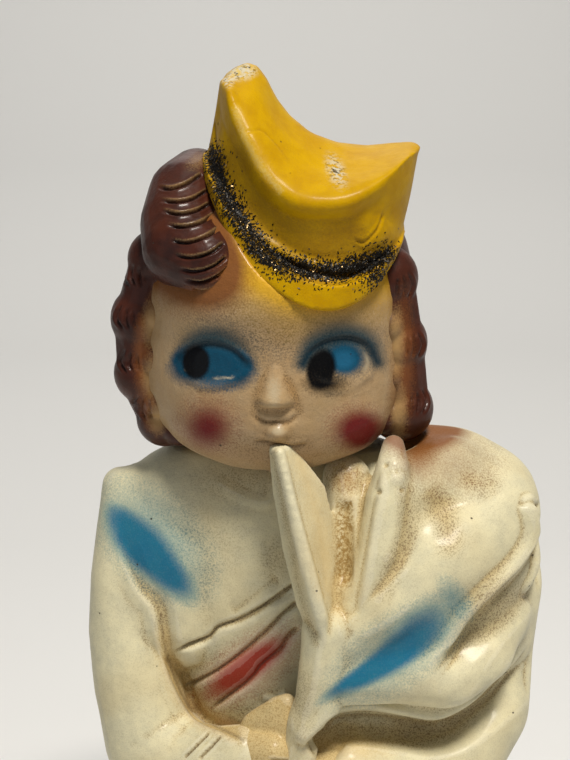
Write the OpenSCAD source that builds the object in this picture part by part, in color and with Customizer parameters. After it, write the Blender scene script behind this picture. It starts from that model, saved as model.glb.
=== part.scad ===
// Chalkware figure: a hollow plaster girl in a peaked cap, holding a set of pipes.
// Every member is a closed solid that meets its neighbours face to face.
// Millimetres, +Z up, the girl faces -Y, origin under the middle of the base.

/* [Base] */
// Diameter of the round plinth
base_d = 114; // [104:1:130]
// Height of the plinth
base_h = 16; // [12:1:24]
// Radius of the plinth's upper edge
base_edge_r = 5; // [2:0.5:6]
// Diameter of the drain hole under the plinth
drain_d = 24; // [16:1:28]
// Depth of the drain hole, up to the narrower core
drain_depth = 10; // [6:1:11]

/* [Legs] */
// Height of the legs between plinth and hem
leg_h = 56; // [46:1:70]
// Diameter of one leg at the calf
calf_d = 30; // [28:1:33]
// Diameter of one leg at the ankle
ankle_d = 26; // [24:1:27]
// Distance between the middles of the legs
leg_pitch = 29; // [27:1:31]
// Height of the turned-down sock above the plinth
sock_h = 32; // [29:1:38]
// Width of the turned-down band of the sock
sock_band = 8; // [6:0.5:10]
// Thickness of the turned-down sock
sock_t = 2.4; // [1.5:0.1:3.5]
// Length of a shoe
shoe_l = 50; // [46:1:56]
// Width of a shoe
shoe_w = 29; // [28:1:31]
// Height of a shoe
shoe_h = 16; // [13:1:19]

/* [Kilt] */
// Height of the kilt from hem to waist
kilt_h = 64; // [54:1:76]
// Width of the kilt at the hem
hem_w = 112; // [104:1:122]
// Depth of the kilt at the hem
hem_depth = 88; // [80:1:98]
// Width of the kilt at the waist
waist_w = 80; // [74:1:84]
// Depth of the kilt at the waist
waist_depth = 62; // [58:1:66]
// Number of pleats around the kilt
pleats = 18; // [14:1:22]
// Depth of a pleat at the hem
pleat_depth = 2.6; // [1:0.1:3.5]
// Height of the belt over the waist seam
belt_h = 9; // [6:0.5:12]
// How far the belt stands proud of the waist
belt_t = 2; // [1.5:0.1:3]

/* [Torso] */
// Height from the waist seam to the top of the shoulders
torso_h = 90; // [82:1:98]
// Width of the chest between the sleeves
chest_w = 116; // [110:1:120]
// Depth of the chest
chest_depth = 64; // [60:1:68]
// Diameter of the neck
neck_d = 38; // [32:1:44]
// How far the torso stands to her left of the plinth's middle
body_shift = 4; // [2:0.5:6]

/* [Arms] */
// Diameter of a sleeve at the elbow
elbow_d = 33; // [31:0.5:36]
// Diameter of a hand across the knuckles
hand_d = 20; // [18:0.5:23]

/* [Pipes] */
// Diameter of the bag across its widest part
bag_d = 36; // [34:1:38]
// Diameter of the drone
drone_d = 14; // [12:0.5:16]
// Width of the blowpipe at its broadest, above the bag
blowpipe_w = 17; // [15:0.5:20]
// Diameter of the chanter below the hands
chanter_d = 9; // [7:0.5:11]

/* [Head] */
// Width of the face at the cheeks
head_w = 82; // [78:1:86]
// Depth of the head
head_depth = 82; // [78:1:86]
// Height of the head from chin to crown
head_h = 86; // [82:1:90]
// How far the head leans to her right of the plinth's middle
head_shift = 5.5; // [3:0.5:8]
// Height of the chin above the shoulders
chin_rise = 9; // [6:0.5:12]

/* [Hair] */
// Diameter of one side curl
curl_d = 22; // [20:0.5:24]
// Width of the rolled wave over the brow
wave_w = 24; // [21:0.5:27]

/* [Cap] */
// Length of the cap from peak to peak
cap_l = 62; // [58:1:66]
// Depth of the cap from front to back
cap_depth = 78; // [74:1:82]
// Height of the cap's high peak above the crown of the head
peak_rise = 35; // [30:1:40]
// Thickness of the turned-up flap
flap_t = 2.6; // [2:0.1:3.4]
// Width of the glitter band
glitter_w = 9; // [7:0.5:11]
// Thickness of the glitter and its glue
glitter_t = 1.2; // [0.8:0.1:1.6]

/* [Casting] */
// Thickness of the plaster wall round the hollow
wall = 10; // [8:0.5:12]

/* [Hidden] */

sides = 26;
ball_sides = 16;
stroke_sides = 8;
eps = 0.01;

z_hem = base_h + leg_h;
z_waist = z_hem + kilt_h;
z_shoulder = z_waist + torso_h;
z_chin = z_shoulder + chin_rise;
z_head = z_chin + head_h / 2;
head_x = -head_shift;
core_r = min(drain_d / 2 - 3, ankle_d / 2 - 5);

// The tables below are drawn for these sizes, and stretch with the driving dimensions.
drawn_chest = [116, 64, 90];
drawn_head = [82, 82, 86];
drawn_cap = [62, 78, 35];
drawn_rounds = [33, 20, 36, 14, 9, 22, 24];
body_scale = [chest_w / drawn_chest.x, chest_depth / drawn_chest.y, torso_h / drawn_chest.z];
head_scale = [head_w / drawn_head.x, head_depth / drawn_head.y, head_h / drawn_head.z];
cap_scale = [cap_l / drawn_cap.x, cap_depth / drawn_cap.y, peak_rise / drawn_cap.z];
arm_share = elbow_d / drawn_rounds[0];
hand_share = hand_d / drawn_rounds[1];
bag_share = bag_d / drawn_rounds[2];
drone_share = drone_d / drawn_rounds[3];
chanter_share = chanter_d / drawn_rounds[4];
curl_share = curl_d / drawn_rounds[5];
wave_share = wave_w / drawn_rounds[6];

// A point given in millimetres from the middle of the waist seam
function body_at(p) = [body_shift + p.x * body_scale.x, p.y * body_scale.y,
                       z_waist + p.z * body_scale.z];
// A point given in millimetres from the middle of the head
function head_at(p) = [head_x + p.x * head_scale.x, p.y * head_scale.y, z_head + p.z * head_scale.z];

// Value of a smooth curve through the rows of a table, at row number t
function spline(rows, t) =
    let (last = len(rows) - 1, i = min(floor(t), last - 1), f = t - i,
         a = rows[max(i - 1, 0)], b = rows[i], c = rows[i + 1], d = rows[min(i + 2, last)])
    0.5 * (2 * b + (c - a) * f + (2 * a - 5 * b + 4 * c - d) * f * f
           + (3 * b - 3 * c + d - a) * f * f * f);

// Rows between the rows of a table, so that a few stations give a smooth form
function finer(rows, steps) =
    [for (k = [0 : (len(rows) - 1) * steps]) spline(rows, k / steps)];

// A level oval ring for a row [z, middle x, middle y, half width, front, back]
function oval(row, n = sides) =
    [for (k = [0 : n - 1]) let (a = 360 * k / n)
        [row[1] + row[3] * cos(a), row[2] + sin(a) * (sin(a) < 0 ? row[4] : row[5]), row[0]]];

// The middle of a ring of points
function middle(ring) = [for (i = [0 : 2]) [for (p = ring) p[i]] * [for (p = ring) 1] / len(ring)];

// A closed skin over rings of equally many points, each anticlockwise seen from the last ring's side.
// A zipped skin closes its last ring across, from front to back, where that ring is no flat oval.
module skin(rings, zipped = false) {
    n = len(rings[0]);
    m = len(rings);
    last = (m - 1) * n;
    points = concat([for (r = rings) each r], [middle(rings[0])], zipped ? [] : [middle(rings[m - 1])]);
    walls = [for (i = [0 : m - 2], k = [0 : n - 1]) let (a = i * n + k, b = i * n + (k + 1) % n)
        each [[a, a + n, b + n], [a, b + n, b]]];
    foot = [for (k = [0 : n - 1]) [m * n, k, (k + 1) % n]];
    top = zipped
        ? [for (k = [0 : n / 2 - 1]) each concat(
            k > 0 ? [[last + n - k, last + n - k - 1, last + k]] : [],
            k < n / 2 - 1 ? [[last + n - k - 1, last + k + 1, last + k]] : [])]
        : [for (k = [0 : n - 1]) [m * n + 1, last + (k + 1) % n, last + k]];
    polyhedron(points, concat(walls, foot, top), convexity = 6);
}

// A rounded limb through balls given as [x, y, z, radius]
module ball_chain(balls, n = ball_sides) {
    for (i = [0 : len(balls) - 2]) hull() {
        ball(balls[i], n);
        ball(balls[i + 1], n);
    }
}

module ball(b, n = ball_sides) translate([b.x, b.y, b.z]) sphere(r = b[3], $fn = n);

// Balls of a table, placed on the body or the head, with their radii times a share
function body_balls(rows, share = 1) = [for (b = rows) concat(body_at(b), [b[3] * share])];
function head_balls(rows, share = 1) = [for (b = rows) concat(head_at(b), [b[3] * share])];

// The hollow that is left when the slip is poured out, open at the drain
module hollow() {
    head_r = min(head_w, head_depth, head_h) / 2 - wall - 2;
    chest_r = chest_depth / 2 - wall;
    kilt_r = waist_depth / 2 - wall;
    hem_r = min(hem_w, hem_depth) / 2 - wall - pleat_depth;
    neck_r = max(neck_d / 2 - wall, 5);
    hull() {
        ball(concat(head_at([0, 0, 4]), [head_r]), 16);
        ball(concat(head_at([0, 0, -10]), [head_r * 0.8]), 16);
    }
    hull() {
        ball(concat(head_at([0, 0, -20]), [neck_r]), 12);
        ball(concat(body_at([-6, 0, 70]), [neck_r]), 12);
    }
    hull() {
        ball(concat(body_at([-3, 0, 62]), [chest_r * 0.9]), 16);
        ball(concat(body_at([0, 0, 14]), [chest_r]), 16);
    }
    hull() {
        ball(concat(body_at([0, 0, 14]), [chest_r]), 16);
        ball([0, 0, z_waist - 8, kilt_r], 16);
    }
    hull() {
        ball([0, 0, z_waist - 8, kilt_r], 16);
        translate([0, 0, z_hem + wall]) cylinder(r = hem_r * 0.6, h = 4, $fn = 24);
    }
}

/* Base, legs and shoes */

module base_profile() {
    r = base_d / 2;
    e = base_edge_r;
    polygon(concat([[0, 0], [r, 0]],
        [for (a = [0 : 15 : 90]) [r - e + e * cos(a), base_h - e + e * sin(a)]],
        [[0, base_h]]));
}

module base() color("burlywood") difference() {
    rotate_extrude($fn = 96) base_profile();
    translate([0, 0, -eps]) cylinder(d = drain_d, h = drain_depth + eps, $fn = 48);
    cylinder(r = core_r, h = base_h + 1, $fn = 48);
}

leg_profile = [[0, 0], [ankle_d / 2, 0], [ankle_d / 2, leg_h * 0.3], [calf_d / 2, leg_h * 0.65],
               [calf_d / 2, leg_h], [0, leg_h]];

// Two legs and the web of plaster that joins them
module leg_form() {
    web = ankle_d - 2;
    for (side = [-1, 1]) translate([side * leg_pitch / 2, 0, base_h])
        rotate_extrude($fn = 48) polygon(leg_profile);
    translate([-leg_pitch / 2, -web / 2, base_h]) cube([leg_pitch, web, leg_h]);
}

module core() translate([0, 0, base_h - 1]) cylinder(r = core_r, h = leg_h + wall + 3, $fn = 48);

module legs() color("antiquewhite") difference() {
    leg_form();
    core();
    shoe_form(-1);
    shoe_form(1);
}

module sock_cuffs() color("indianred") difference() {
    for (side = [-1, 1]) translate([side * leg_pitch / 2, 0, base_h + sock_h - sock_band])
        rotate_extrude($fn = 48) polygon([[0, 0], [ankle_d / 2 + sock_t, 0],
            [calf_d / 2 + sock_t, sock_band / 2], [calf_d / 2 + sock_t, sock_band], [0, sock_band + 1]]);
    leg_form();
    core();
}

module shoe_form(side) {
    toe_y = shoe_w / 2 - shoe_l * 0.7;
    heel_y = shoe_l * 0.3 - shoe_w / 2 + 1;
    squash = shoe_h / shoe_w * 2;
    translate([side * leg_pitch / 2, 0, base_h]) intersection() {
        translate([side < 0 ? -shoe_w : -leg_pitch / 2, -shoe_l, 0])
            cube([shoe_w + leg_pitch / 2, 2 * shoe_l, shoe_h]);
        hull() {
            translate([side * 1.5, toe_y, 0]) scale([1, 1, squash]) sphere(d = shoe_w, $fn = 28);
            translate([0, heel_y, 0]) scale([1, 1, squash]) sphere(d = shoe_w - 2, $fn = 28);
        }
    }
}

// Each shoe keeps to its own side, so that the pair meets in the middle
module shoe(side) color("royalblue") difference() {
    shoe_form(side);
    translate([side < 0 ? 0 : -shoe_l, -shoe_l, base_h - 1]) cube([shoe_l, 2 * shoe_l, shoe_h + 2]);
    core();
}

/* Kilt and belt */

function kilt_rows() = [
    [z_hem, 0, 0, hem_w / 2, hem_depth / 2, hem_depth / 2],
    [z_hem + kilt_h * 0.35, 0.5, 0, hem_w / 2 - 4, hem_depth / 2 - 3, hem_depth / 2 - 3],
    [z_hem + kilt_h * 0.75, 1.5, 0, waist_w / 2 + 5, waist_depth / 2 + 5, waist_depth / 2 + 5],
    [z_waist, body_shift / 2, 0, waist_w / 2, waist_depth / 2, waist_depth / 2]];

// A kilt ring: its knife pleats are a saw edge that fades towards the waist
function pleated(row, share) =
    let (n = pleats * 4)
    [for (k = [0 : n - 1]) let (a = 360 * k / n, saw = (k % 4) / 3 * pleat_depth * share)
        [row[1] + (row[3] - saw) * cos(a), row[2] + (sin(a) < 0 ? row[4] - saw : row[5] - saw) * sin(a),
         row[0]]];

module kilt_form() {
    rows = finer(kilt_rows(), 2);
    skin([for (i = [0 : len(rows) - 1]) pleated(rows[i], 1 - 0.75 * i / (len(rows) - 1))]);
}

module kilt() color("linen") difference() {
    kilt_form();
    hollow();
    sleeve_form(-1);
    sleeve_form(1);
    hand_form(-1);
    hand_form(1);
    chanter_form();
    core();
    belt_form();
}

module belt_form() {
    w = waist_w / 2 + belt_t;
    d = waist_depth / 2 + belt_t;
    x = body_shift / 2;
    skin([oval([z_waist - belt_h / 2, x, 0, w - 1, d - 1, d - 1]),
          oval([z_waist - belt_h / 2 + 1.5, x, 0, w, d, d]),
          oval([z_waist + belt_h / 2 - 1.5, x, 0, w, d, d]),
          oval([z_waist + belt_h / 2, x, 0, w - 1, d - 1, d - 1])]);
}

module belt() color("firebrick") difference() {
    belt_form();
    hollow();
    sleeve_form(-1);
    sleeve_form(1);
    hand_form(-1);
    hand_form(1);
    chanter_form();
}

/* Torso, neck and sash */

torso_rows = [
    [0, -2, 0, 39, 30, 30], [16, -1, 0, 43, 31, 31], [40, 0, 0, 52, 31, 32], [64, -1, 0, 58, 29, 31],
    [80, -2, 0, 58, 26, 27], [90, -4, 0, 51, 21, 23], [97, -7, 0, 36, 15, 18]];

function body_ring(r) = [for (p = oval(r)) body_at(p)];

module torso_form() skin([for (r = finer(torso_rows, 2)) body_ring(r)]);

module torso() color("linen") difference() {
    torso_form();
    hollow();
    neck_form();
    belt_form();
    sleeve_form(-1);
    sleeve_form(1);
    bag_form();
    blowpipe_form();
    drone_form();
    chanter_form();
    hand_form(-1);
    hand_form(1);
    head_form();
    hair_form();
    curl_form(-1);
    curl_form(1);
}

module neck_form() hull() {
    translate(body_at([-8, 0, 84])) cylinder(d = neck_d, h = eps, $fn = 32);
    translate(head_at([0, 0, -34])) cylinder(d = neck_d, h = eps, $fn = 32);
}

module neck() color("peachpuff") difference() {
    neck_form();
    hollow();
    head_form();
    hair_form();
    blowpipe_form();
    drone_form();
}

sash_folds = [
    [[-40, -20, 30, 6], [-26, -26, 38, 6], [-11, -28, 50, 5.5], [3, -28, 60, 4]],
    [[-38, -21, 20, 6], [-24, -27, 27, 6], [-9, -30, 38, 5.5], [4, -31, 50, 4]],
    [[-33, -23, 11, 6], [-21, -28, 17, 6], [-8, -31, 27, 5.5], [3, -32, 40, 4]]];

module sash() color("salmon") difference() {
    for (fold = sash_folds) ball_chain(body_balls(fold, body_scale.x), 12);
    torso_form();
    belt_form();
    sleeve_form(-1);
    hand_form(-1);
    blowpipe_form();
    chanter_form();
    bag_form();
}

/* Arms: side -1 is her right, side 1 her left */

right_arm = [
    [-60, -2, 83, 6.5], [-59, -6, 68, 9.5], [-58, -9, 53, 12.5], [-57, -12, 36, 14.5], [-54, -17, 17, 15.5],
    [-50, -22, 0, 16], [-38, -32, -3, 13.5], [-27, -39, 2, 11], [-19, -42, 6, 9.5]];
left_arm = [
    [58, 2, 84, 10], [64, 0, 66, 15], [65, -6, 50, 16.5], [62.5, -11, 30, 16], [60, -17, 10, 17],
    [50, -28, -2, 16.5], [36, -36, -4, 13.5], [24, -41, 0, 11.5], [16, -44, 3, 10]];

// The broad flank of the right sleeve, from the corner of the shoulder down to the elbow
right_flank = [
    [-60, -2, 83, 6], [-45, -2, 86, 8], [-59, -7, 60, 11], [-38, -10, 62, 17], [-57, -11, 44, 13],
    [-40, -8, 40, 20]];

module sleeve_form(side) {
    ball_chain(body_balls(side < 0 ? right_arm : left_arm, arm_share));
    if (side < 0) hull() for (b = body_balls(right_flank, arm_share)) ball(b);
}

module sleeve(side) color("ivory") difference() {
    sleeve_form(side);
    hand_form(side);
    if (side > 0) bag_form();
    chanter_form();
    hollow();
}

right_hand = [[-15, -45, 9, 9], [-8, -47, 10, 9], [-3, -48, 9, 7], [-8, -43, 20, 6]];
left_hand = [[14, -45, 4, 9], [8, -47, 4, 10], [3, -49, 3, 8]];

module hand_form(side) ball_chain(body_balls(side < 0 ? right_hand : left_hand, hand_share), 16);

// Grooves between four fingers that curl round the chanter
module finger_grooves(side) {
    hand = side < 0 ? right_hand : left_hand;
    for (k = [-1 : 1]) {
        a = body_at(hand[1] + [0, 0, k * 4.4, 0]);
        b = body_at(hand[2] + [0, 0, k * 4.4, 0]);
        hull() for (p = [a, b])
            translate([p.x, p.y - hand_d / 2, p.z]) sphere(r = hand_share, $fn = stroke_sides);
    }
}

module hand(side) color("peachpuff") difference() {
    hand_form(side);
    finger_grooves(side);
    chanter_form();
    if (side > 0) hand_form(-1);
    bag_form();
    torso_form();
}

/* Pipes: the bag under her left arm, blowpipe, drone and chanter */

bag_lobes = [
    [[11, -43, 46, 8], [26, -38, 56, 13], [44, -29, 68, 18], [62, -14, 78, 17], [62, -6, 82, 16],
     [52, 0, 88, 15], [40, 0, 92, 12]],
    [[10, -43, 42, 7], [36, -36, 48, 11], [54, -28, 56, 14], [64, -18, 64, 15]],
    [[9, -44, 34, 8], [30, -42, 35, 10], [44, -40, 33, 11], [58, -32, 38, 10], [66, -22, 46, 10]],
    [[4, -37, 15, 8], [14, -32, 18, 9], [30, -30, 18, 11], [48, -24, 20, 13]],
    [[33, -22, 88, 12], [48, -12, 90, 14]],
    [[15, -28, 82, 6], [14, -32, 70, 7], [11, -38, 55, 7.5]]];

module bag_form() for (lobe = bag_lobes) ball_chain(body_balls(lobe, bag_share));

module pipe_bag() color("cornsilk") difference() {
    bag_form();
    blowpipe_form();
    drone_form();
    chanter_form();
    head_form();
    hair_form();
    curl_form(1);
}

// The blowpipe is a wedge, narrow at the lips. Each slice holds its crest, left edge and right edge,
// as [sideways from the crest line, y], and its place along the pipe.
drawn_blowpipe = 17;
blowpipe_rows = [
    [-7.5, 109, [0, -44.5], [-1.8, -40], [3.5, -38]], [-4, 94, [0, -49], [-4, -40], [10, -34]],
    [0, 77, [0, -53], [-5, -42], [10, -35]], [4.5, 60, [0, -54], [-5.5, -44], [5, -42]],
    [7.5, 49, [0, -53], [-4, -46], [3, -47]]];

module blowpipe_form() {
    share = blowpipe_w / drawn_blowpipe;
    widen = share / body_scale.x;
    for (i = [0 : len(blowpipe_rows) - 2]) hull() for (row = [blowpipe_rows[i], blowpipe_rows[i + 1]])
        for (corner = [row[2], row[3], row[4]])
            ball(concat(body_at([row[0] + corner.x * widen, corner.y + 1, row[1] - 1]), [1.2 * share]), 8);
}

module blowpipe() color("oldlace") difference() {
    blowpipe_form();
    head_form();
    chanter_form();
}

drone_line = [[29, -31, 98, 6], [27, -34, 89, 7], [24, -39, 74, 7], [19, -41, 58, 7], [13, -42, 46, 6]];

module drone_form() ball_chain(body_balls(drone_line, drone_share), 16);

module drone() color("oldlace") difference() {
    drone_form();
    blowpipe_form();
    chanter_form();
    head_form();
    curl_form(1);
    hair_form();
}

chanter_line = [[8, -44, 50, 8.5], [6, -46, 36, 7.5], [1, -47, 16, 4.5], [-2, -50, -6, 4.5], [-4, -52, -22, 4.5],
                [-5, -53, -30, 7]];

module chanter_form() ball_chain(body_balls(chanter_line, chanter_share), 16);

// The chanter's two ferrules
module chanter_rings() for (z = [-12, -20]) {
    p = body_at([-3, -50.7 + z * 0.06, z]);
    translate(p) rotate([-7, 4, 0]) scale(chanter_share) cylinder(r = 5.5, h = 2.5, center = true, $fn = 24);
}

module chanter() color("oldlace") union() {
    chanter_form();
    chanter_rings();
}

/* Head and hair */

head_rows = [
    [-44, 0, -7, 20, 24, 15], [-39, 0, -4, 30, 33, 23], [-30, 0, -1, 38, 39, 31], [-18, 0, 0, 41, 41, 36],
    [-3, 0, 0, 41, 40, 39.5], [12, 0, 0, 40, 41, 40], [26, 0, 0, 34, 36, 33], [36, 0, 0, 25, 27, 24],
    [43, 0, 0, 10, 12, 12]];

// The y of the face at a place across and up it
function face_y(x, z) =
    let (half = lookup(z, [for (r = head_rows) [r[0], r[3]]]),
         front = lookup(z, [for (r = head_rows) [r[0], r[4]]]),
         mid = lookup(z, [for (r = head_rows) [r[0], r[2]]]))
    mid - front * sqrt(max(0, 1 - pow(x / half, 2)));

module head_form() skin([for (r = finer(head_rows, 2)) [for (p = oval(r)) head_at(p)]]);

nose_balls = [[1.5, -38.8, -12.5, 2.2], [-2.6, -40, -20.2, 2.8], [5.6, -40, -20.2, 2.8], [1.5, -42, -18.6, 3.2]];

module nose_form() hull() for (b = head_balls(nose_balls, head_scale.x)) ball(b, 10);

// A groove along the face through points given across and up it
module carved_line(points, r) for (i = [0 : len(points) - 2]) hull()
    for (p = [points[i], points[i + 1]])
        translate(head_at([p.x, face_y(p.x, p.y), p.y])) sphere(r = r, $fn = stroke_sides);

right_lid = [[-27, -6], [-21, -3], [-13, -3.5], [-6.5, -9.5]];
left_lid = [[11, -4.5], [17, -1], [23, 0], [29, -2.5], [31, -7.5]];
lip_line = [[-6.5, -33.5], [1, -33.8], [8.5, -34]];

module head() color("wheat") difference() {
    union() {
        head_form();
        nose_form();
    }
    hollow();
    carved_line(right_lid, 1.1);
    carved_line(left_lid, 1.1);
    carved_line(lip_line, 0.9);
    cap_room();
    wave_form();
}

hair_rows = [
    [-52, 0, 17, 22, 10, 20], [-38, 0, 13, 36, 16, 30], [-16, 0, 8, 45, 18, 38], [7, 0, 6, 46, 20, 40],
    [27, 0, 4, 41, 22, 37], [37, 0, 3, 31, 10, 29], [44, 0, 4, 18, 4, 15]];

module hair_form() skin([for (r = finer(hair_rows, 2)) [for (p = oval(r)) head_at(p)]]);

// Grooves combed down the back of the head
module combed_lines() for (a = [30 : 24 : 150]) hull() for (z = [-34, 12]) {
    half = lookup(z, [for (r = hair_rows) [r[0], r[3]]]);
    back = lookup(z, [for (r = hair_rows) [r[0], r[5]]]);
    mid = lookup(z, [for (r = hair_rows) [r[0], r[2]]]);
    translate(head_at([half * cos(a), mid + back * sin(a), z])) sphere(r = 1.6, $fn = stroke_sides);
}

module hair_back() color("saddlebrown") difference() {
    hair_form();
    combed_lines();
    head_form();
    hollow();
    cap_room();
    wave_form();
    curl_form(-1);
    curl_form(1);
}

wave_line = [[-24, 4, 42, 10], [-27, -4, 38, 12], [-28, -12, 30, 13], [-27, -19, 24, 13], [-19, -27, 20.5, 10.5]];

module wave_form() ball_chain(head_balls(wave_line, wave_share));

// The y of the wave's front at a place across and up it
function wave_front(x, z) = min([for (p = finer(wave_line, 3))
    p.y - sqrt(max(0, pow(p[3] * wave_share, 2) - pow(x - p.x, 2) - pow(z - p.z, 2)))]);

// Comb marks across the rolled wave
module wave_marks() for (k = [0 : 6])
    let (x = -35 + k * 1.6, z = 43 - k * 4.4, places = [[x, z], [x + 6, z - 1.4], [x + 12, z + 1]])
    for (i = [0, 1]) hull() for (p = [places[i], places[i + 1]])
        translate(head_at([p.x, wave_front(p.x, p.y), p.y])) sphere(r = wave_share, $fn = 6);

module hair_wave() color("sienna") difference() {
    wave_form();
    wave_marks();
    cap_room();
    hollow();
}

right_curls = [[-36, -6, 18, 10], [-41, -6, -1, 11], [-41, -6, -19, 10.5], [-35, -7, -34, 9.5]];
left_curls = [[35.5, -6, 12, 11], [39, -6, -9, 11], [41.5, -6, -31, 11]];

// Each row of curls is repeated towards the nape
module curl_form(side) {
    curls = side < 0 ? right_curls : left_curls;
    for (c = curls) hull() for (b = head_balls([c, c + [-side * 6, 22, -1, 0]], curl_share)) ball(b);
    ball_chain(head_balls(curls, curl_share * 0.88), 14);
}

module curls(side) color("brown") difference() {
    curl_form(side);
    head_form();
    hollow();
    cap_room();
    wave_form();
    torso_form();
    sleeve_form(side);
}

/* Cap: side to side across the head, high peak to her right */

// A place on the cap, given by its way out from the ring's middle; above the head it rises with the peak
function cap_at(mid, out, z) =
    let (crown = drawn_head.z / 2)
    head_at([mid.x + out.x * cap_scale.x / head_scale.x, mid.y + out.y * cap_scale.y / head_scale.y,
             z > crown ? crown + (z - crown) * cap_scale.z / head_scale.z : z]);

// A ring of the cap's lower part [middle x, middle y, half length, half depth, z, lift to her left,
// lift to the back, lift at both ends, lift to her right], measured from the middle of the head
function cap_ring(r, n = 36) =
    [for (i = [0 : n - 1]) let (a = 360 * i / n, t = min(max((-cos(a) - 0.1) / 0.65, 0), 1))
        cap_at(r, [r[2] * cos(a), r[3] * sin(a)],
               r[4] + r[5] * cos(a) + r[6] * sin(a) + r[7] * cos(2 * a) + r[8] * t * t * (3 - 2 * t))];

// How high the crest and the ridge in front of it stand at places along the cap
crest_high = [
    [-16, 71], [-14.5, 75], [-11.5, 77], [-7.8, 78.4], [-4.4, 77.2], [-1.6, 73.5], [1.5, 67.5], [5.6, 61.9],
    [11.9, 56.9], [20.4, 53.8], [29.8, 52.9], [37.1, 53.8], [44.3, 54.4], [46.5, 53.6]];
ridge_high = [
    [-15.5, 73.5], [-12.4, 71], [-10.3, 63.3], [-6.4, 55.8], [-2.5, 48.4], [1.6, 43.7], [7.5, 40.4],
    [15.2, 39.4], [23.1, 40.4], [30, 44], [36.1, 48.2], [41.5, 52], [46.5, 53]];

// A ring of the crown's top [middle x, middle y, half length, half depth, share of the way up from ridge to crest]
function crown_ring(r, n = 36) =
    [for (i = [0 : n - 1]) let (a = 360 * i / n, out = [r[2] * cos(a), r[3] * sin(a)], x = r.x + out.x)
        cap_at(r, out, lookup(x, crest_high) * r[4] + lookup(x, ridge_high) * (1 - r[4]))];

wall_ring = [12.6, -2, 30, 30.5, 35, -9, 4, 7.5, 2];
band_ring = [11, -2, 30, 36, 31.5, -12, 3.5, 7, 0];
seat_ring = [9, 2, 22, 27, 20, -12, 8, 4, 0];
flap_ring = [9.2, -2, 31.3, 40, 25.8, -13, 4, 11.3, 0];
lip_ring = [10.3, -2, 32, 39, 32, -12.5, 5, 9, 0];
crown_rings = [
    [14.8, -4, 30.6, 31.6, -0.14], [15.5, -4, 31, 31.6, 0], [15.4, -3, 31, 26, 0.28], [15.2, -1, 31, 16, 0.7], [15, 1, 30, 5, 1]];

module crown_form() skin(concat([cap_ring(seat_ring), cap_ring(band_ring), cap_ring(wall_ring)],
                                [for (r = crown_rings) crown_ring(r)]), zipped = true);

module cap_crown() color("gold") crown_form();

flap_inset = [0, 0, flap_t / cap_scale.x, flap_t / cap_scale.y, 1, 0, 0, 0, 0];

module flap_form() skin([cap_ring(seat_ring - [0, 0, 0, 0, 2, 0, 0, 0, 0]), cap_ring(flap_ring),
                         cap_ring(lip_ring), cap_ring(lip_ring - flap_inset)]);

module cap_flap() color("goldenrod") difference() {
    flap_form();
    crown_form();
}

glitter_proud = [0, 0, glitter_t / cap_scale.x, glitter_t / cap_scale.y, 0, 0, 0, 0, 0];

// The glitter lies in the angle between the crown's wall and the flap's lip, on the front only
module glitter_form() intersection() {
    rise = [0, 0, 0, 0, glitter_w / head_scale.z, 0, 0, 0, 0];
    skin([cap_ring(lip_ring - 2 * flap_inset - 0.3 * rise), cap_ring(lip_ring + glitter_proud - 0.15 * rise),
          cap_ring(lip_ring + glitter_proud + 0.1 * rise), cap_ring(lip_ring - flap_inset + 0.6 * rise)]);
    translate([head_x - head_w, -head_depth, z_head]) cube([2 * head_w, head_depth, head_h]);
}

// All that the cap takes up, with the air above its flap; head and hair end at it
module cap_room() {
    rim = lip_ring + glitter_proud;
    skin([cap_ring(seat_ring - [0, 0, 0, 0, 2, 0, 0, 0, 0]), cap_ring(flap_ring), cap_ring(rim),
          cap_ring(rim + [0, 0, 0, 0, drawn_head.z, 0, 0, 0, 0])]);
}

module glitter_band() color("black") difference() {
    glitter_form();
    crown_form();
    flap_form();
}

base();
legs();
sock_cuffs();
shoe(-1);  // shoe_right
shoe(1);  // shoe_left
kilt();
belt();
torso();
neck();
sleeve(-1);  // sleeve_right
sleeve(1);  // sleeve_left
hand(-1);  // hand_right
hand(1);  // hand_left
sash();
pipe_bag();
blowpipe();
drone();
chanter();
head();
hair_back();
hair_wave();
curls(-1);  // curls_right
curls(1);  // curls_left
cap_crown();
cap_flap();
glitter_band();
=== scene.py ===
import math
import random
import time

import bmesh
import bpy
import numpy as np
from mathutils import Matrix, Vector, noise
from mathutils.bvhtree import BVHTree


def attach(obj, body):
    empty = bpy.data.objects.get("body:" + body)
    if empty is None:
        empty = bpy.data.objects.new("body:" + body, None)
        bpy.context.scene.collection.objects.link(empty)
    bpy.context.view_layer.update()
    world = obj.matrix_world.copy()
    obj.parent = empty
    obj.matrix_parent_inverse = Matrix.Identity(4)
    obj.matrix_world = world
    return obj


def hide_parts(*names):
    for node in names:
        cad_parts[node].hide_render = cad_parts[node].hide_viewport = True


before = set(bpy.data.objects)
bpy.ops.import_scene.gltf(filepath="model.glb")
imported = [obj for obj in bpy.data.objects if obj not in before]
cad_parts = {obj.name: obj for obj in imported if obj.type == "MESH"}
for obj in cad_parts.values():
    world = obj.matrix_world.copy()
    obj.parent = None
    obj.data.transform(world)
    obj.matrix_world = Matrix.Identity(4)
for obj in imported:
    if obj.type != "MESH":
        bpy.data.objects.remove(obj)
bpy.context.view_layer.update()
startTime = time.time()
mm = 0.001
scene = bpy.context.scene
scene.view_settings.view_transform = "Standard"

# Camera: a little above the face, looking down by 15 degrees

cameraSettings = {
    "spot": (-1.5, -435.67, 371.56), "tilt": 15, "lens": 65, "sensor": 36, "width": 570, "height": 760}


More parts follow.
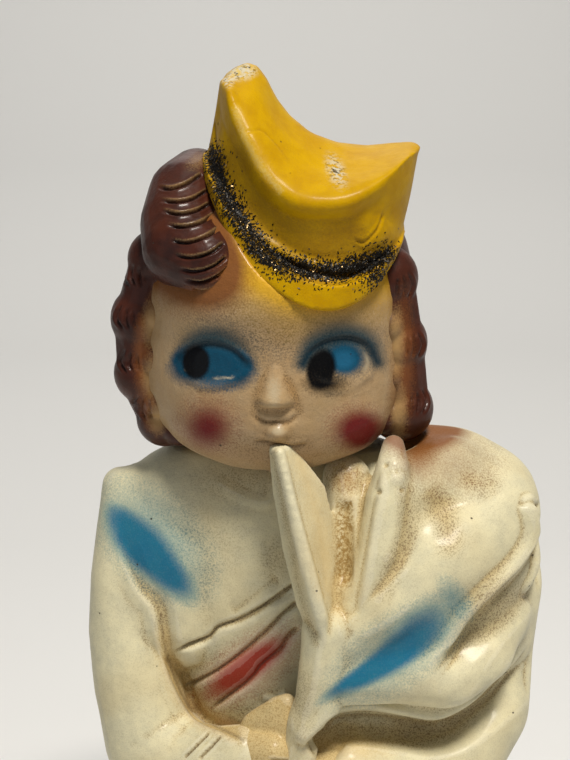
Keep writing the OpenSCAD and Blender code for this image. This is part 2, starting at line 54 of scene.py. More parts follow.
def makeCamera(settings):
    data = bpy.data.cameras.new("camera")
    data.lens = settings["lens"]
    data.sensor_width = settings["sensor"]
    data.clip_start, data.clip_end = 0.01, 20
    camera = bpy.data.objects.new("camera", data)
    scene.collection.objects.link(camera)
    camera.location = Vector(settings["spot"]) * mm
    camera.rotation_euler = (math.radians(90 - settings["tilt"]), 0, 0)
    scene.camera = camera


makeCamera(cameraSettings)
eyePoint = np.array(cameraSettings["spot"])
tilt = math.radians(cameraSettings["tilt"])
lookAhead = np.array((0, math.cos(tilt), -math.sin(tilt)))
lookUp = np.array((0, math.sin(tilt), math.cos(tilt)))
focal = cameraSettings["lens"] / cameraSettings["sensor"] * cameraSettings["height"]


# Where points given in millimetres lie in the 570 x 760 picture; strokes are drawn in these units
def sketch(points):
    off = points - eyePoint
    depth = off @ lookAhead
    across = cameraSettings["width"] / 2 + focal * off[:, 0] / depth
    down = cameraSettings["height"] / 2 - focal * (off @ lookUp) / depth
    return across, down


def smoothStep(value, low, high):
    part = np.clip((value - low) / (high - low), 0, 1)
    return part * part * (3 - 2 * part)


# A smooth line on through dots, from the one after start to the one before end
def splined(start, dots, end, stepsOf):
    held = np.vstack([start, dots, end])
    made = []
    for i in range(len(dots) - 1):
        a, b, c, d = held[i:i + 4]
        square, cube = 2 * a - 5 * b + 4 * c - d, 3 * b - 3 * c + d - a
        steps = stepsOf(np.linalg.norm(c - b))
        for f in np.arange(steps) / steps:
            made.append(0.5 * (2 * b + (c - a) * f + square * f ** 2 + cube * f ** 3))
    return np.array(made + [dots[-1]])


# A line through a few points of a sketch, with a point about every gap
def curveThrough(points, gap=4):
    dots = np.array(points, float)
    return splined(2 * dots[0] - dots[1], dots, 2 * dots[-1] - dots[-2], lambda far: max(2, int(far / gap)))


# Rows between the rows of a table
def finer(rows, steps=3):
    dots = np.array(rows, float)
    return splined(dots[0], dots, dots[-1], lambda far: steps)


# The waist's middle and the head's middle, from which the pieces are measured
bodySpot = (4, 0, 136)
headSpot = (-5.5, 0, 278)


def bodyAt(x, y, z):
    return (bodySpot[0] + x, y, bodySpot[2] + z)


def headAt(x, y, z):
    return (headSpot[0] + x, y, headSpot[2] + z)


# Balls [x, y, z, radius] put where they belong
def placed(balls, at=None, grow=0):
    return [(*(at(*ball[:3]) if at else ball[:3]), ball[3] + grow) for ball in balls]


# One convex skin round a few balls [x, y, z, radius]
def addHull(bm, balls, detail=2):
    part = bmesh.new()
    for x, y, z, radius in balls:
        spot = Matrix.Translation(Vector((x, y, z)) * mm)
        bmesh.ops.create_icosphere(part, subdivisions=detail, radius=radius * mm, matrix=spot)
    bmesh.ops.delete(part, geom=part.edges[:], context="EDGES_FACES")
    hull = bmesh.ops.convex_hull(part, input=part.verts[:])
    unused = hull["geom_interior"] + hull["geom_unused"]
    inside = {item for item in unused if isinstance(item, bmesh.types.BMVert)}
    bmesh.ops.delete(part, geom=list(inside), context="VERTS")
    passing = bpy.data.meshes.new("passing")
    part.to_mesh(passing)
    part.free()
    bm.from_mesh(passing)
    bpy.data.meshes.remove(passing)


# A limb: each ball is hulled with the next
def addChain(bm, balls, at=None, grow=0, detail=2):
    chain = placed(balls, at, grow)
    for pair in zip(chain, chain[1:]):
        addHull(bm, pair, detail)


# Skin over circles that are each bent into shape by a function of the circle's x and y
def addLoft(bm, shapes, segments=64, zipped=False):
    rings = []
    for shape in shapes:
        verts = bmesh.ops.create_circle(bm, segments=segments, radius=1)["verts"]
        rings.append(list({edge for vert in verts for edge in vert.link_edges}))
        for vert in verts:
            vert.co = Vector(shape(vert.co.x, vert.co.y)) * mm
    for low, high in zip(rings, rings[1:]):
        bmesh.ops.bridge_loops(bm, edges=low + high)
    for ring in rings[:1] if zipped else (rings[0], rings[-1]):
        bmesh.ops.edgeloop_fill(bm, edges=ring)
    if zipped:
        bmesh.ops.remove_doubles(bm, verts=bm.verts[:], dist=0.02 * mm)


# A level oval for a row [z, middle x, middle y, half width, front, back]
def ovalShape(row, at=None):
    z, midX, midY, half, front, back = row

    def shape(c, s):
        point = (midX + half * c, midY + s * (front if s < 0 else back), z)
        return at(*point) if at else point

    return shape


def addOvals(bm, rows, at=None, steps=3):
    addLoft(bm, [ovalShape(row, at) for row in finer(rows, steps)])


# A casting under work: a remeshed skin, moved and painted with strokes that are drawn in the picture
class Clay:
    def __init__(self, name, bm, voxel, soften):
        mesh = bpy.data.meshes.new(name)
        bmesh.ops.recalc_face_normals(bm, faces=bm.faces[:])
        bm.to_mesh(mesh)
        bm.free()
        self.piece = bpy.data.objects.new(name, mesh)
        scene.collection.objects.link(self.piece)
        remesh = self.piece.modifiers.new("remesh", "REMESH")
        remesh.mode = "VOXEL"
        remesh.voxel_size = voxel * mm
        remesh.use_smooth_shade = True
        made = self.piece.evaluated_get(bpy.context.evaluated_depsgraph_get())
        self.piece.data = bpy.data.meshes.new_from_object(made)
        self.piece.modifiers.clear()
        self.piece.data.name = name
        bpy.data.meshes.remove(mesh)
        mesh = self.piece.data
        self.count = len(mesh.vertices)
        self.co = np.empty(self.count * 3)
        mesh.vertices.foreach_get("co", self.co)
        self.co = self.co.reshape(-1, 3) / mm
        pairs = np.empty(len(mesh.edges) * 2, np.int32)
        mesh.edges.foreach_get("vertices", pairs)
        self.first, self.second = pairs.reshape(-1, 2).T
        self.links = np.bincount(pairs, minlength=self.count)
        self.coats = {}
        self.relax(soften, swell=True)
        self.relax(2)

    # Mean of a value over each vertex's neighbours
    def around(self, values):
        total = np.bincount(self.first, values[self.second], self.count)
        return (total + np.bincount(self.second, values[self.first], self.count)) / self.links

    # Smooths; with swell every second round swells again, so that small forms keep their size
    def relax(self, rounds, share=1.0, swell=False):
        for step in [0.6, -0.6] * rounds if swell else [0.6] * rounds:
            for column in self.co.T:
                column += (self.around(column) - column) * step * share
        self.settle()

    # Where a patch of the picture is, for work on that part alone
    def within(self, left, top, right, bottom, soft=12):
        share = 1
        for value, low, high in ((self.across, left, right), (self.down, top, bottom)):
            share = share * smoothStep(value, low - soft, low + soft)
            share = share * smoothStep(-value, -high - soft, -high + soft)
        return share

    # Writes the vertices back and looks again where each one faces and lies in the picture
    def settle(self):
        mesh = self.piece.data
        mesh.vertices.foreach_set("co", (self.co * mm).ravel())
        mesh.update()
        self.normal = np.empty(self.count * 3)
        mesh.vertex_normals.foreach_get("vector", self.normal)
        self.normal = self.normal.reshape(-1, 3)
        self.across, self.down = sketch(self.co)
        toEye = eyePoint - self.co
        toEye /= np.linalg.norm(toEye, axis=1)[:, None]
        self.facing = (self.normal * toEye).sum(1)
        self.front = smoothStep(self.facing, 0.0, 0.25)

    # Signed distance from a line, plus on its right hand, and the share of the line passed
    def measure(self, path, reach):
        line = curveThrough(path)
        low, high = line.min(0) - reach, line.max(0) + reach
        places = np.stack([self.across, self.down], 1)
        index = np.nonzero(((places > low) & (places < high)).all(1) & (self.facing > 0))[0]
        dots = places[index]
        way = np.diff(line, axis=0)
        size = np.linalg.norm(way, axis=1)
        off = dots[:, None] - line[None, :-1]
        part = np.clip((off * way).sum(2) / size ** 2, 0, 1)
        off -= part[:, :, None] * way
        far = np.linalg.norm(off, axis=2)
        best = far.argmin(1)
        rows = np.arange(len(index))
        side = way[best, 0] * off[rows, best, 1] - way[best, 1] * off[rows, best, 0]
        passed = np.concatenate([[0], np.cumsum(size)])
        share = (passed[best] + part[rows, best] * size[best]) / passed[-1]
        return index, far[rows, best] * np.where(side < 0, -1, 1), share

    # How strong a stroke is at each vertex. A profile is [(distance, strength)], or (reach, strength) for
    # one that is the same on both sides; the ends fade in and out
    def strokeOf(self, path, profile, ends):
        if isinstance(profile, tuple):
            reach, strength = profile
            profile = [(-reach, 0), (0, strength), (reach, 0)]
        places, heights = zip(*profile)
        index, away, share = self.measure(path, max(abs(places[0]), abs(places[-1])))
        value = np.interp(away, places, heights)
        if ends[0]:
            value *= smoothStep(share, 0, ends[0])
        if ends[1]:
            value *= smoothStep(1 - share, 0, ends[1])
        return index, value * self.front[index]

    def carve(self, path, profile, ends=(0.12, 0.12)):
        index, value = self.strokeOf(path, profile, ends)
        self.co[index] += self.normal[index] * value[:, None]

    def dabOf(self, spot, size, turn, power):
        c, s = math.cos(math.radians(turn)), math.sin(math.radians(turn))
        dx, dy = self.across - spot[0], self.down - spot[1]
        u, v = (dx * c + dy * s) / size[0], (dy * c - dx * s) / size[1]
        return np.clip(1 - u * u - v * v, 0, 1) ** power * self.front

    def dab(self, spot, size, height, turn=0, power=1.5):
        self.co += self.normal * (self.dabOf(spot, size, turn, power) * height)[:, None]

    # Paints a named coat over what is there, as one more pass of the airbrush
    def paint(self, coat, values, index=slice(None)):
        held = self.coats.setdefault(coat, np.zeros(self.count))
        held[index] = 1 - (1 - held[index]) * (1 - np.clip(values, 0, 1))

    def brush(self, coat, path, profile, ends=(0, 0)):
        index, value = self.strokeOf(path, profile, ends)
        self.paint(coat, value, index)

    def puff(self, coat, spot, size, strength=1, turn=0, power=2):
        self.paint(coat, self.dabOf(spot, size, turn, power) * strength)

    # All strokes of a settings list: what starts with a path is brushed, what starts with a spot is puffed
    def spray(self, coats):
        for coat, strokes in coats.items():
            for stroke in strokes:
                work = self.brush if isinstance(stroke[0], list) else self.puff
                work(coat, *stroke)

    def carveAll(self, cuts):
        for cut in cuts:
            self.carve(*cut)

    # Uneven skin, as a worn mould leaves it
    def wobble(self, amount, size, seed=0, share=1.0):
        shift = Vector((seed * 17.3, seed * 5.1, seed * 9.7))
        values = np.array([noise.noise(Vector(point) / size + shift) for point in self.co])
        self.co += self.normal * (values * amount * share)[:, None]
        self.settle()

    # Above 0 in hollows, below 0 on edges
    def hollowness(self, rounds, depth):
        flat = self.co.copy()
        for column in flat.T:
            for _ in range(rounds):
                column += (self.around(column) - column) * 0.7
        return np.clip(((flat - self.co) * self.normal).sum(1) / depth, -1, 1)

    def finish(self, material, slot, *nodes):
        self.settle()
        # Hollows and creases are measured here; the finish darkens them as painted shade and dirt
        wide, fine = self.hollowness(24, 0.8), self.hollowness(5, 0.12)
        self.coats["hollow"] = np.clip(wide, 0, 1)
        self.coats["crease"] = np.clip(fine, 0, 1)
        self.coats["edge"] = np.clip(-fine, 0, 1)
        mesh = self.piece.data
        for coat, values in self.coats.items():
            held = mesh.attributes.new(coat, "FLOAT", "POINT")
            held.data.foreach_set("value", values.astype(np.float32))
        mesh.materials.clear()
        mesh.materials.append(material)
        mesh.polygons.foreach_set("use_smooth", np.ones(len(mesh.polygons), bool))
        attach(self.piece, "root")
        if nodes:
            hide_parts(*nodes)
        print(self.piece.name, len(mesh.polygons), "faces", round(time.time() - startTime, 1), "s")
        return self.piece


# Shader maths: a Value is one output socket of a finish
class Value:
    def __init__(self, finish, socket):
        self.finish, self.socket = finish, socket

    def math(self, operation, *others, clamp=False):
        inputs = {i: value for i, value in enumerate((self, *others))}
        return self.finish.node("Math", {"operation": operation, "use_clamp": clamp}, inputs)

    def __add__(self, other):
        return self.math("ADD", other)

    def __radd__(self, other):
        return self.math("ADD", other)

    def __sub__(self, other):
        return self.math("SUBTRACT", other)

    def __rsub__(self, other):
        return self.finish.node("Math", {"operation": "SUBTRACT"}, {0: other, 1: self})

    def __mul__(self, other):
        return self.math("MULTIPLY", other)

    def __rmul__(self, other):
        return self.math("MULTIPLY", other)

    # 0 below low, 1 above high, soft between
    def step(self, low, high):
        inputs = {"Value": self, "From Min": low, "From Max": high}
        return self.finish.node("MapRange", {"interpolation_type": "SMOOTHSTEP"}, inputs)

    def clamp(self):
        return self.math("ADD", 0.0, clamp=True)


class Finish:
    def __init__(self, name):
        self.material = bpy.data.materials.new(name)
        self.material.use_nodes = True
        self.tree = self.material.node_tree
        self.shader = next(node for node in self.tree.nodes if node.type == "BSDF_PRINCIPLED")
        coordinates = self.node("TexCoord", out="Object")
        self.place = self.node("VectorMath", {"operation": "SCALE"}, {0: coordinates, "Scale": 1 / mm})

    def node(self, kind, settings=None, inputs=None, out=0):
        made = self.tree.nodes.new("ShaderNode" + kind)
        for key, value in (settings or {}).items():
            setattr(made, key, value)
        for key, value in (inputs or {}).items():
            if isinstance(value, Value):
                self.tree.links.new(value.socket, made.inputs[key])
            else:
                made.inputs[key].default_value = value
        return Value(self, made.outputs[out])

    def coat(self, name):
        return self.node("Attribute", {"attribute_name": name}, out="Fac")

    # Noise whose lumps are about size millimetres across
    def noise(self, size, detail=3, rough=0.5, shift=0):
        place = self.place
        if shift:
            moved = {0: place, 1: (shift, shift * 0.7, shift * 1.3)}
            place = self.node("VectorMath", {"operation": "ADD"}, moved)
        inputs = {"Vector": place, "Scale": 1 / size, "Detail": detail, "Roughness": rough}
        return self.node("TexNoise", inputs=inputs)

    # Distance to the nearest of scattered dots that are about size millimetres apart
    def dots(self, size):
        return self.node("TexVoronoi", {"feature": "F1"}, {"Vector": self.place, "Scale": 1 / size})

    def mix(self, share, under, over, blend="MIX"):
        settings = {"data_type": "RGBA", "blend_type": blend}
        return self.node("Mix", settings, {0: share, 6: under, 7: over}, out=2)

    def bump(self, height, distance):
        return self.node("Bump", inputs={"Height": height, "Distance": distance * mm, "Strength": 1})

    def connect(self, **sockets):
        for key, value in sockets.items():
            self.tree.links.new(value.socket, self.shader.inputs[key.replace("_", " ")])

    def fixed(self, **sockets):
        for key, value in sockets.items():
            self.shader.inputs[key.replace("_", " ")].default_value = value


def rgb(red, green, blue):
    return (red, green, blue, 1)


# Old lacquer over paint over plaster: grains, dirt and painted shade in the hollows and creases, pinholes,
# worn edges
def lacquered(name, settings, recolour=None):
    f = Finish(name)
    grain, patch, blotch = f.noise(0.55, 2, 0.6), f.noise(7, 4, 0.6), f.noise(26, 3, 0.5, 31)
    hollow, crease, edge, grime = f.coat("hollow"), f.coat("crease"), f.coat("edge"), f.coat("grime")
    color = f.mix(patch.step(0.35, 0.7), settings["color"], settings["tint"])
    color = f.mix(blotch.step(0.45, 0.75) * 0.5, color, settings["blotch"])
    # Dirt plus painted shade: the coat of grime and shade, the hollows and the creases darken the colour
    dirt = (grime * 0.9 + hollow * 0.45 + crease * 0.5 + patch * 0.3 + 0.02) * settings["dirt"]
    specks = grain.step(0.48, 0.64) * dirt.step(0.0, 0.8)
    color = f.mix(dirt.clamp() * settings["stain"], color, settings["stainColor"], "MULTIPLY")
    color = f.mix((specks * settings["speckle"]).clamp(), color, settings["dirtColor"])
    dust = f.noise(0.3, 1, 0.6, 3).step(0.56, 0.7) * (dirt + 0.25) * settings["dust"]
    color = f.mix(dust, color, settings["dirtColor"])
    if recolour:
        color = recolour(f, color, grain, patch)
    # Dark lines: the painted mouth line, and painted shade in folds, grooves, under the nose and under rims
    color = f.mix(f.coat("line"), color, settings["lineColor"])
    pinhole = 1 - f.dots(settings["pinGap"]).step(settings["pinSize"], settings["pinSize"] * 1.7)
    pinhole = pinhole * f.noise(9, 1, 0.5, 77).step(0.56, 0.62)
    color = f.mix(pinhole * 0.85, color, settings["pinColor"])
    chip = ((edge * 1.2 + f.noise(2.2, 4, 0.7, 13)).step(1.08, 1.2) * settings["chips"]).clamp()
    color = f.mix(chip, color, settings["chipColor"])
    f.connect(Base_Color=color, Roughness=settings["rough"] + specks * 0.3 + chip * 0.3 + patch * 0.15)
    height = grain * 0.35 + f.noise(2.4, 2, 0.5, 5) * 0.8 - pinhole * 1.6 - chip * 0.6
    f.connect(Normal=f.bump(height, settings["bump"]))
    f.fixed(Coat_Weight=settings["gloss"], Coat_Roughness=0.18, Coat_IOR=1.45)
    f.fixed(Specular_IOR_Level=settings["shine"])
    return f.material


creamSettings = {
    "color": rgb(0.72, 0.67, 0.45), "tint": rgb(0.64, 0.61, 0.43), "blotch": rgb(0.62, 0.53, 0.31),
    "dirt": 1.0, "stain": 0.75, "stainColor": rgb(0.70, 0.56, 0.36), "speckle": 0.7, "dust": 0.55,
    "dirtColor": rgb(0.17, 0.11, 0.05), "lineColor": rgb(0.06, 0.038, 0.02),
    "pinColor": rgb(0.05, 0.035, 0.02), "pinGap": 5.5, "pinSize": 0.045,
    "chips": 0.1, "chipColor": rgb(0.85, 0.82, 0.72),
    "bump": 0.22, "gloss": 0.15, "shine": 0.15, "rough": 0.4}

skinSettings = dict(
    creamSettings, color=rgb(0.43, 0.29, 0.15), tint=rgb(0.46, 0.33, 0.19), blotch=rgb(0.38, 0.26, 0.12),
    speckle=0.8, stain=0.6, chips=0.0, gloss=0.24, bump=0.35, shine=0.08)

hairSettings = dict(
    creamSettings, color=rgb(0.058, 0.014, 0.007), tint=rgb(0.030, 0.008, 0.005),
    blotch=rgb(0.085, 0.022, 0.008), dirt=0.5, stainColor=rgb(0.4, 0.25, 0.2), chips=0.0, gloss=0.22,
    dirtColor=rgb(0.010, 0.005, 0.004), lineColor=rgb(0.008, 0.004, 0.003))

yellowSettings = dict(
    creamSettings, color=rgb(0.52, 0.30, 0.0), tint=rgb(0.46, 0.25, 0.0), blotch=rgb(0.54, 0.33, 0.0),
    dirt=0.6, speckle=0.4, dust=0.4, shine=0.06, stainColor=rgb(0.6, 0.5, 0.2), chips=0.0, gloss=0.08)

redSettings = dict(
    creamSettings, color=rgb(0.36, 0.035, 0.02), tint=rgb(0.30, 0.03, 0.02), blotch=rgb(0.42, 0.06, 0.03),
    dirt=0.5, chips=0.5, gloss=0.4)

blueSettings = dict(
    creamSettings, color=rgb(0.03, 0.16, 0.26), tint=rgb(0.025, 0.13, 0.22), blotch=rgb(0.05, 0.20, 0.30),
    dirt=0.5, chips=0.5, gloss=0.4)

brownSpray = rgb(0.20, 0.075, 0.02)
bodyColors = {
    "red": rgb(0.34, 0.035, 0.018), "blue": rgb(0.012, 0.135, 0.235), "teal": rgb(0.03, 0.20, 0.25),
    "sand": rgb(0.30, 0.19, 0.06), "yellow": rgb(0.62, 0.42, 0.15)}

# The face's coats from the lowest to the topmost; the pale coat also paints highlights and glints
faceColors = {
    "yellow": rgb(0.62, 0.34, 0.01), "brown": brownSpray, "haze": rgb(0.004, 0.042, 0.062),
    "blush": rgb(0.14, 0.004, 0.004), "iris": rgb(0.003, 0.052, 0.098), "glow": rgb(0.012, 0.10, 0.19),
    "bare": rgb(0.50, 0.42, 0.28), "lash": rgb(0.002, 0.016, 0.028), "pupil": rgb(0.001, 0.001, 0.0015)}
# Hair: the pale coat is bare plaster, with painted highlights on groove edges, inner curls and the wave's
# top
hairColors = {"orange": rgb(0.22, 0.075, 0.02), "bare": rgb(0.42, 0.27, 0.11)}
# Cap: the pale coat is worn paint with a painted highlight along the ridge; the glue coat is glue, with
# painted shade on the wall
capColors = {"bare": rgb(0.60, 0.52, 0.22), "glue": rgb(0.12, 0.06, 0.01), "plaster": rgb(0.50, 0.45, 0.33),
             "speck": rgb(0.03, 0.026, 0.02)}


# Paint blown on from an airbrush: solid in the middle, breaking into dots at the rim
def sprayed(f, color, coatName, paintColor, grain, strength=1.0):
    coat = f.coat(coatName)
    dusty = coat + (grain - 0.5) * 1.1 * coat.step(0.0, 0.15) * (1.15 - coat)
    return f.mix((dusty * strength).clamp(), color, paintColor)


def bodySprays(f, color, grain, patch):
    color = sprayed(f, color, "yellow", bodyColors["yellow"], grain, 0.6)
    color = f.mix(f.coat("sand") * f.noise(1.1, 3, 0.7, 9).step(0.42, 0.6), color, bodyColors["sand"])
    color = sprayed(f, color, "brown", brownSpray, grain)
    color = sprayed(f, color, "red", bodyColors["red"], grain)
    deep = (f.coat("blue").step(0.5, 0.95) * (patch * 0.9 + 0.45)).clamp()
    return sprayed(f, color, "blue", f.mix(deep, bodyColors["teal"], bodyColors["blue"]), grain)


def facePaint(f, color, grain, patch):
    for coat, shade in faceColors.items():
        color = sprayed(f, color, coat, shade, grain, 0.95 if coat == "haze" else 1)
    return color


def hairPaint(f, color, grain, patch):
    color = sprayed(f, color, "orange", hairColors["orange"], grain)
    return sprayed(f, color, "bare", hairColors["bare"], grain, 0.8)


# Yellow with a faded edge, dirty glue, and a peak that is worn through to grey plaster with black specks;
# the pale coat also paints a highlight along the ridge, the glue coat paints shade on the wall under the
# ridge, and a grey worn patch stands where a highlight falls on the crown
def capPaint(f, color, grain, patch):
    color = sprayed(f, color, "bare", capColors["bare"], grain, 0.8)
    color = sprayed(f, color, "glue", capColors["glue"], grain, 0.7)
    flaked = f.mix(f.noise(1.3, 3, 0.6, 41).step(0.52, 0.6), capColors["plaster"], capColors["speck"])
    return f.mix((f.coat("worn") * f.noise(1.9, 3, 0.7, 15).step(0.4, 0.54)).clamp(), color, flaked)


materials = {
    "cream": lacquered("creamPlaster", creamSettings, bodySprays),
    "skin": lacquered("skinPlaster", skinSettings, facePaint),
    "hair": lacquered("hairPaint", hairSettings, hairPaint),
    "yellow": lacquered("yellowPaint", yellowSettings, capPaint),
    "red": lacquered("redPaint", redSettings),
    "blue": lacquered("bluePaint", blueSettings)}

# Chest, right sleeve and the folds across the chest

armEdge = [(107, 507), (137, 580), (157, 607), (163, 637), (170, 667), (183, 697), (197, 717), (217, 727),
    (243, 740)]

chestSettings = {
    "voxel": 0.72, "soften": 8,
    "foldCut": [(-16, 0), (-3, -0.2), (-1.2, -1.5), (0.8, -1.7), (3, 0.6), (9, 0.6), (22, 0)],
    "rows": [[0, -2, 0, 39, 30, 30], [16, -1, 0, 43, 31, 31], [40, 0, 0, 52, 31, 32],
        [64, -1, 0, 58, 29, 31], [80, -2, 0, 58, 26, 27], [90, -4, 0, 51, 21, 23], [97, -7, 0, 36, 15, 18]],
    "arm": [[-60, -2, 83, 6.5], [-59, -6, 68, 9.5], [-58, -9, 53, 12.5], [-57, -12, 36, 14.5],
        [-54, -17, 17, 15.5], [-50, -22, 0, 16], [-38, -32, -3, 13.5], [-27, -39, 2, 11],
        [-19, -42, 6, 9.5]],
    "shoulder": [[-60, -2, 83, 6], [-45, -2, 86, 8], [-59, -7, 60, 11], [-38, -10, 62, 17],
        [-57, -11, 44, 13], [-40, -8, 40, 20]],
    "folds": [
        [(172, 652), (187, 647), (210, 637), (217, 628), (240, 620), (260, 609), (277, 597), (297, 583)],
        [(182, 687), (205, 677), (230, 662), (255, 642), (270, 628), (282, 615), (299, 601)],
        [(208, 711), (227, 697), (250, 680), (262, 665), (280, 650), (288, 637), (299, 627)]],
    "creases": [[(184, 758), (197, 745), (211, 731)], [(199, 759), (210, 748), (223, 734)]],
    "edges": [(armEdge, [(-16, 0), (-4, -1.4), (0, -1.2), (6, 0.9), (18, 0)], (0.5, 0.05)),
        ([(205, 470), (227, 483), (250, 495), (268, 496), (272, 474)], [(-4, 0), (5, 0.5), (14, 0)],
         (0.3, 0.1))],
    "cuts": [([(252, 617), (270, 604), (296, 592)], [(-4, 0), (0, -1.0), (3, 0.3), (7, 0)]),
        ([(230, 615), (255, 595), (280, 575)], (12, -0.6)),
        ([(262, 696), (275, 699), (287, 692)], [(-5, 0), (0, 0.9), (7, 0)])],
    "sprays": {"blue": [((124, 522), (30, 15), 0.9, 46, 1.2), ((143, 547), (58, 27), 1.4, 46, 1.2),
            ((170, 575), (44, 20), 1.1, 46, 1.2), ((154, 540), (92, 54), 0.6, 46, 1.2)],
        "red": [((247, 667), (58, 18), 1.4, -35, 1.2), ((250, 666), (80, 36), 0.5, -35, 1.2)],
        "yellow": [([(165, 640), (180, 690), (205, 718), (240, 730)], (18, 0.7))],
        # Dirt along the arm's edge, and painted shade under the chin, beside the blowpipe and below the
        # lowest fold
        "grime": [(armEdge, [(-12, 0), (0, 0.6), (9, 0)], (0.5, 0)), ((205, 540), (70, 70), 0.2),
            ((275, 560), (26, 36), 0.4), ((240, 722), (44, 26), 0.7), ((235, 480), (60, 26), 0.35),
            ((215, 690), (40, 60), 0.5)],
        # Dark lines painted as shade along the arm's edge and under the hand's ledge
        "line": [(armEdge, [(-2.5, 0), (-0.5, 0.55), (2, 0)], (0.6, 0)),
            ([(254, 710), (268, 713), (286, 709)], (3, 0.6), (0.2, 0.2))]}}


def makeChest(settings):
    bm = bmesh.new()
    addOvals(bm, settings["rows"], bodyAt)
    addChain(bm, settings["arm"], bodyAt, detail=3)
    addHull(bm, placed(settings["shoulder"], bodyAt))
    clay = Clay("chestCasting", bm, settings["voxel"], settings["soften"])
    clay.relax(40, clay.within(95, 455, 215, 640) * clay.front)
    clay.carveAll(settings["edges"])
    clay.settle()
    for fold in settings["folds"]:
        clay.carve(fold, settings["foldCut"], (0.15, 0.04))
        # A dark line in the fold's crease, painted as shade
        clay.brush("line", fold, [(-2, 0), (-0.3, 0.7), (1.8, 0)], (0.1, 0.05))
    clay.carveAll(settings["cuts"])
    for crease in settings["creases"]:
        clay.carve(crease, [(-5, 0), (-2, 0.4), (0, -1.4), (2, 0.4), (5, 0)], ends=(0.1, 0.2))
        # A dark line in the crease, painted as shade
        clay.brush("line", crease, (1.8, 0.7), (0.1, 0.2))
    clay.relax(1)
    clay.wobble(0.35, 14, 1)
    clay.spray(settings["sprays"])
    return clay.finish(materials["cream"], "cream_plaster", "torso", "sleeve_right", "sash")


makeChest(chestSettings)

# The pipes with their bag, and the left sleeve behind

rimLow = [(300, 745), (317, 727), (333, 713), (363, 707), (403, 713), (437, 717), (470, 700), (513, 660),
    (527, 637)]
rimHigh = [(529, 502), (533, 533), (517, 563), (487, 593), (463, 620), (437, 657), (420, 673)]

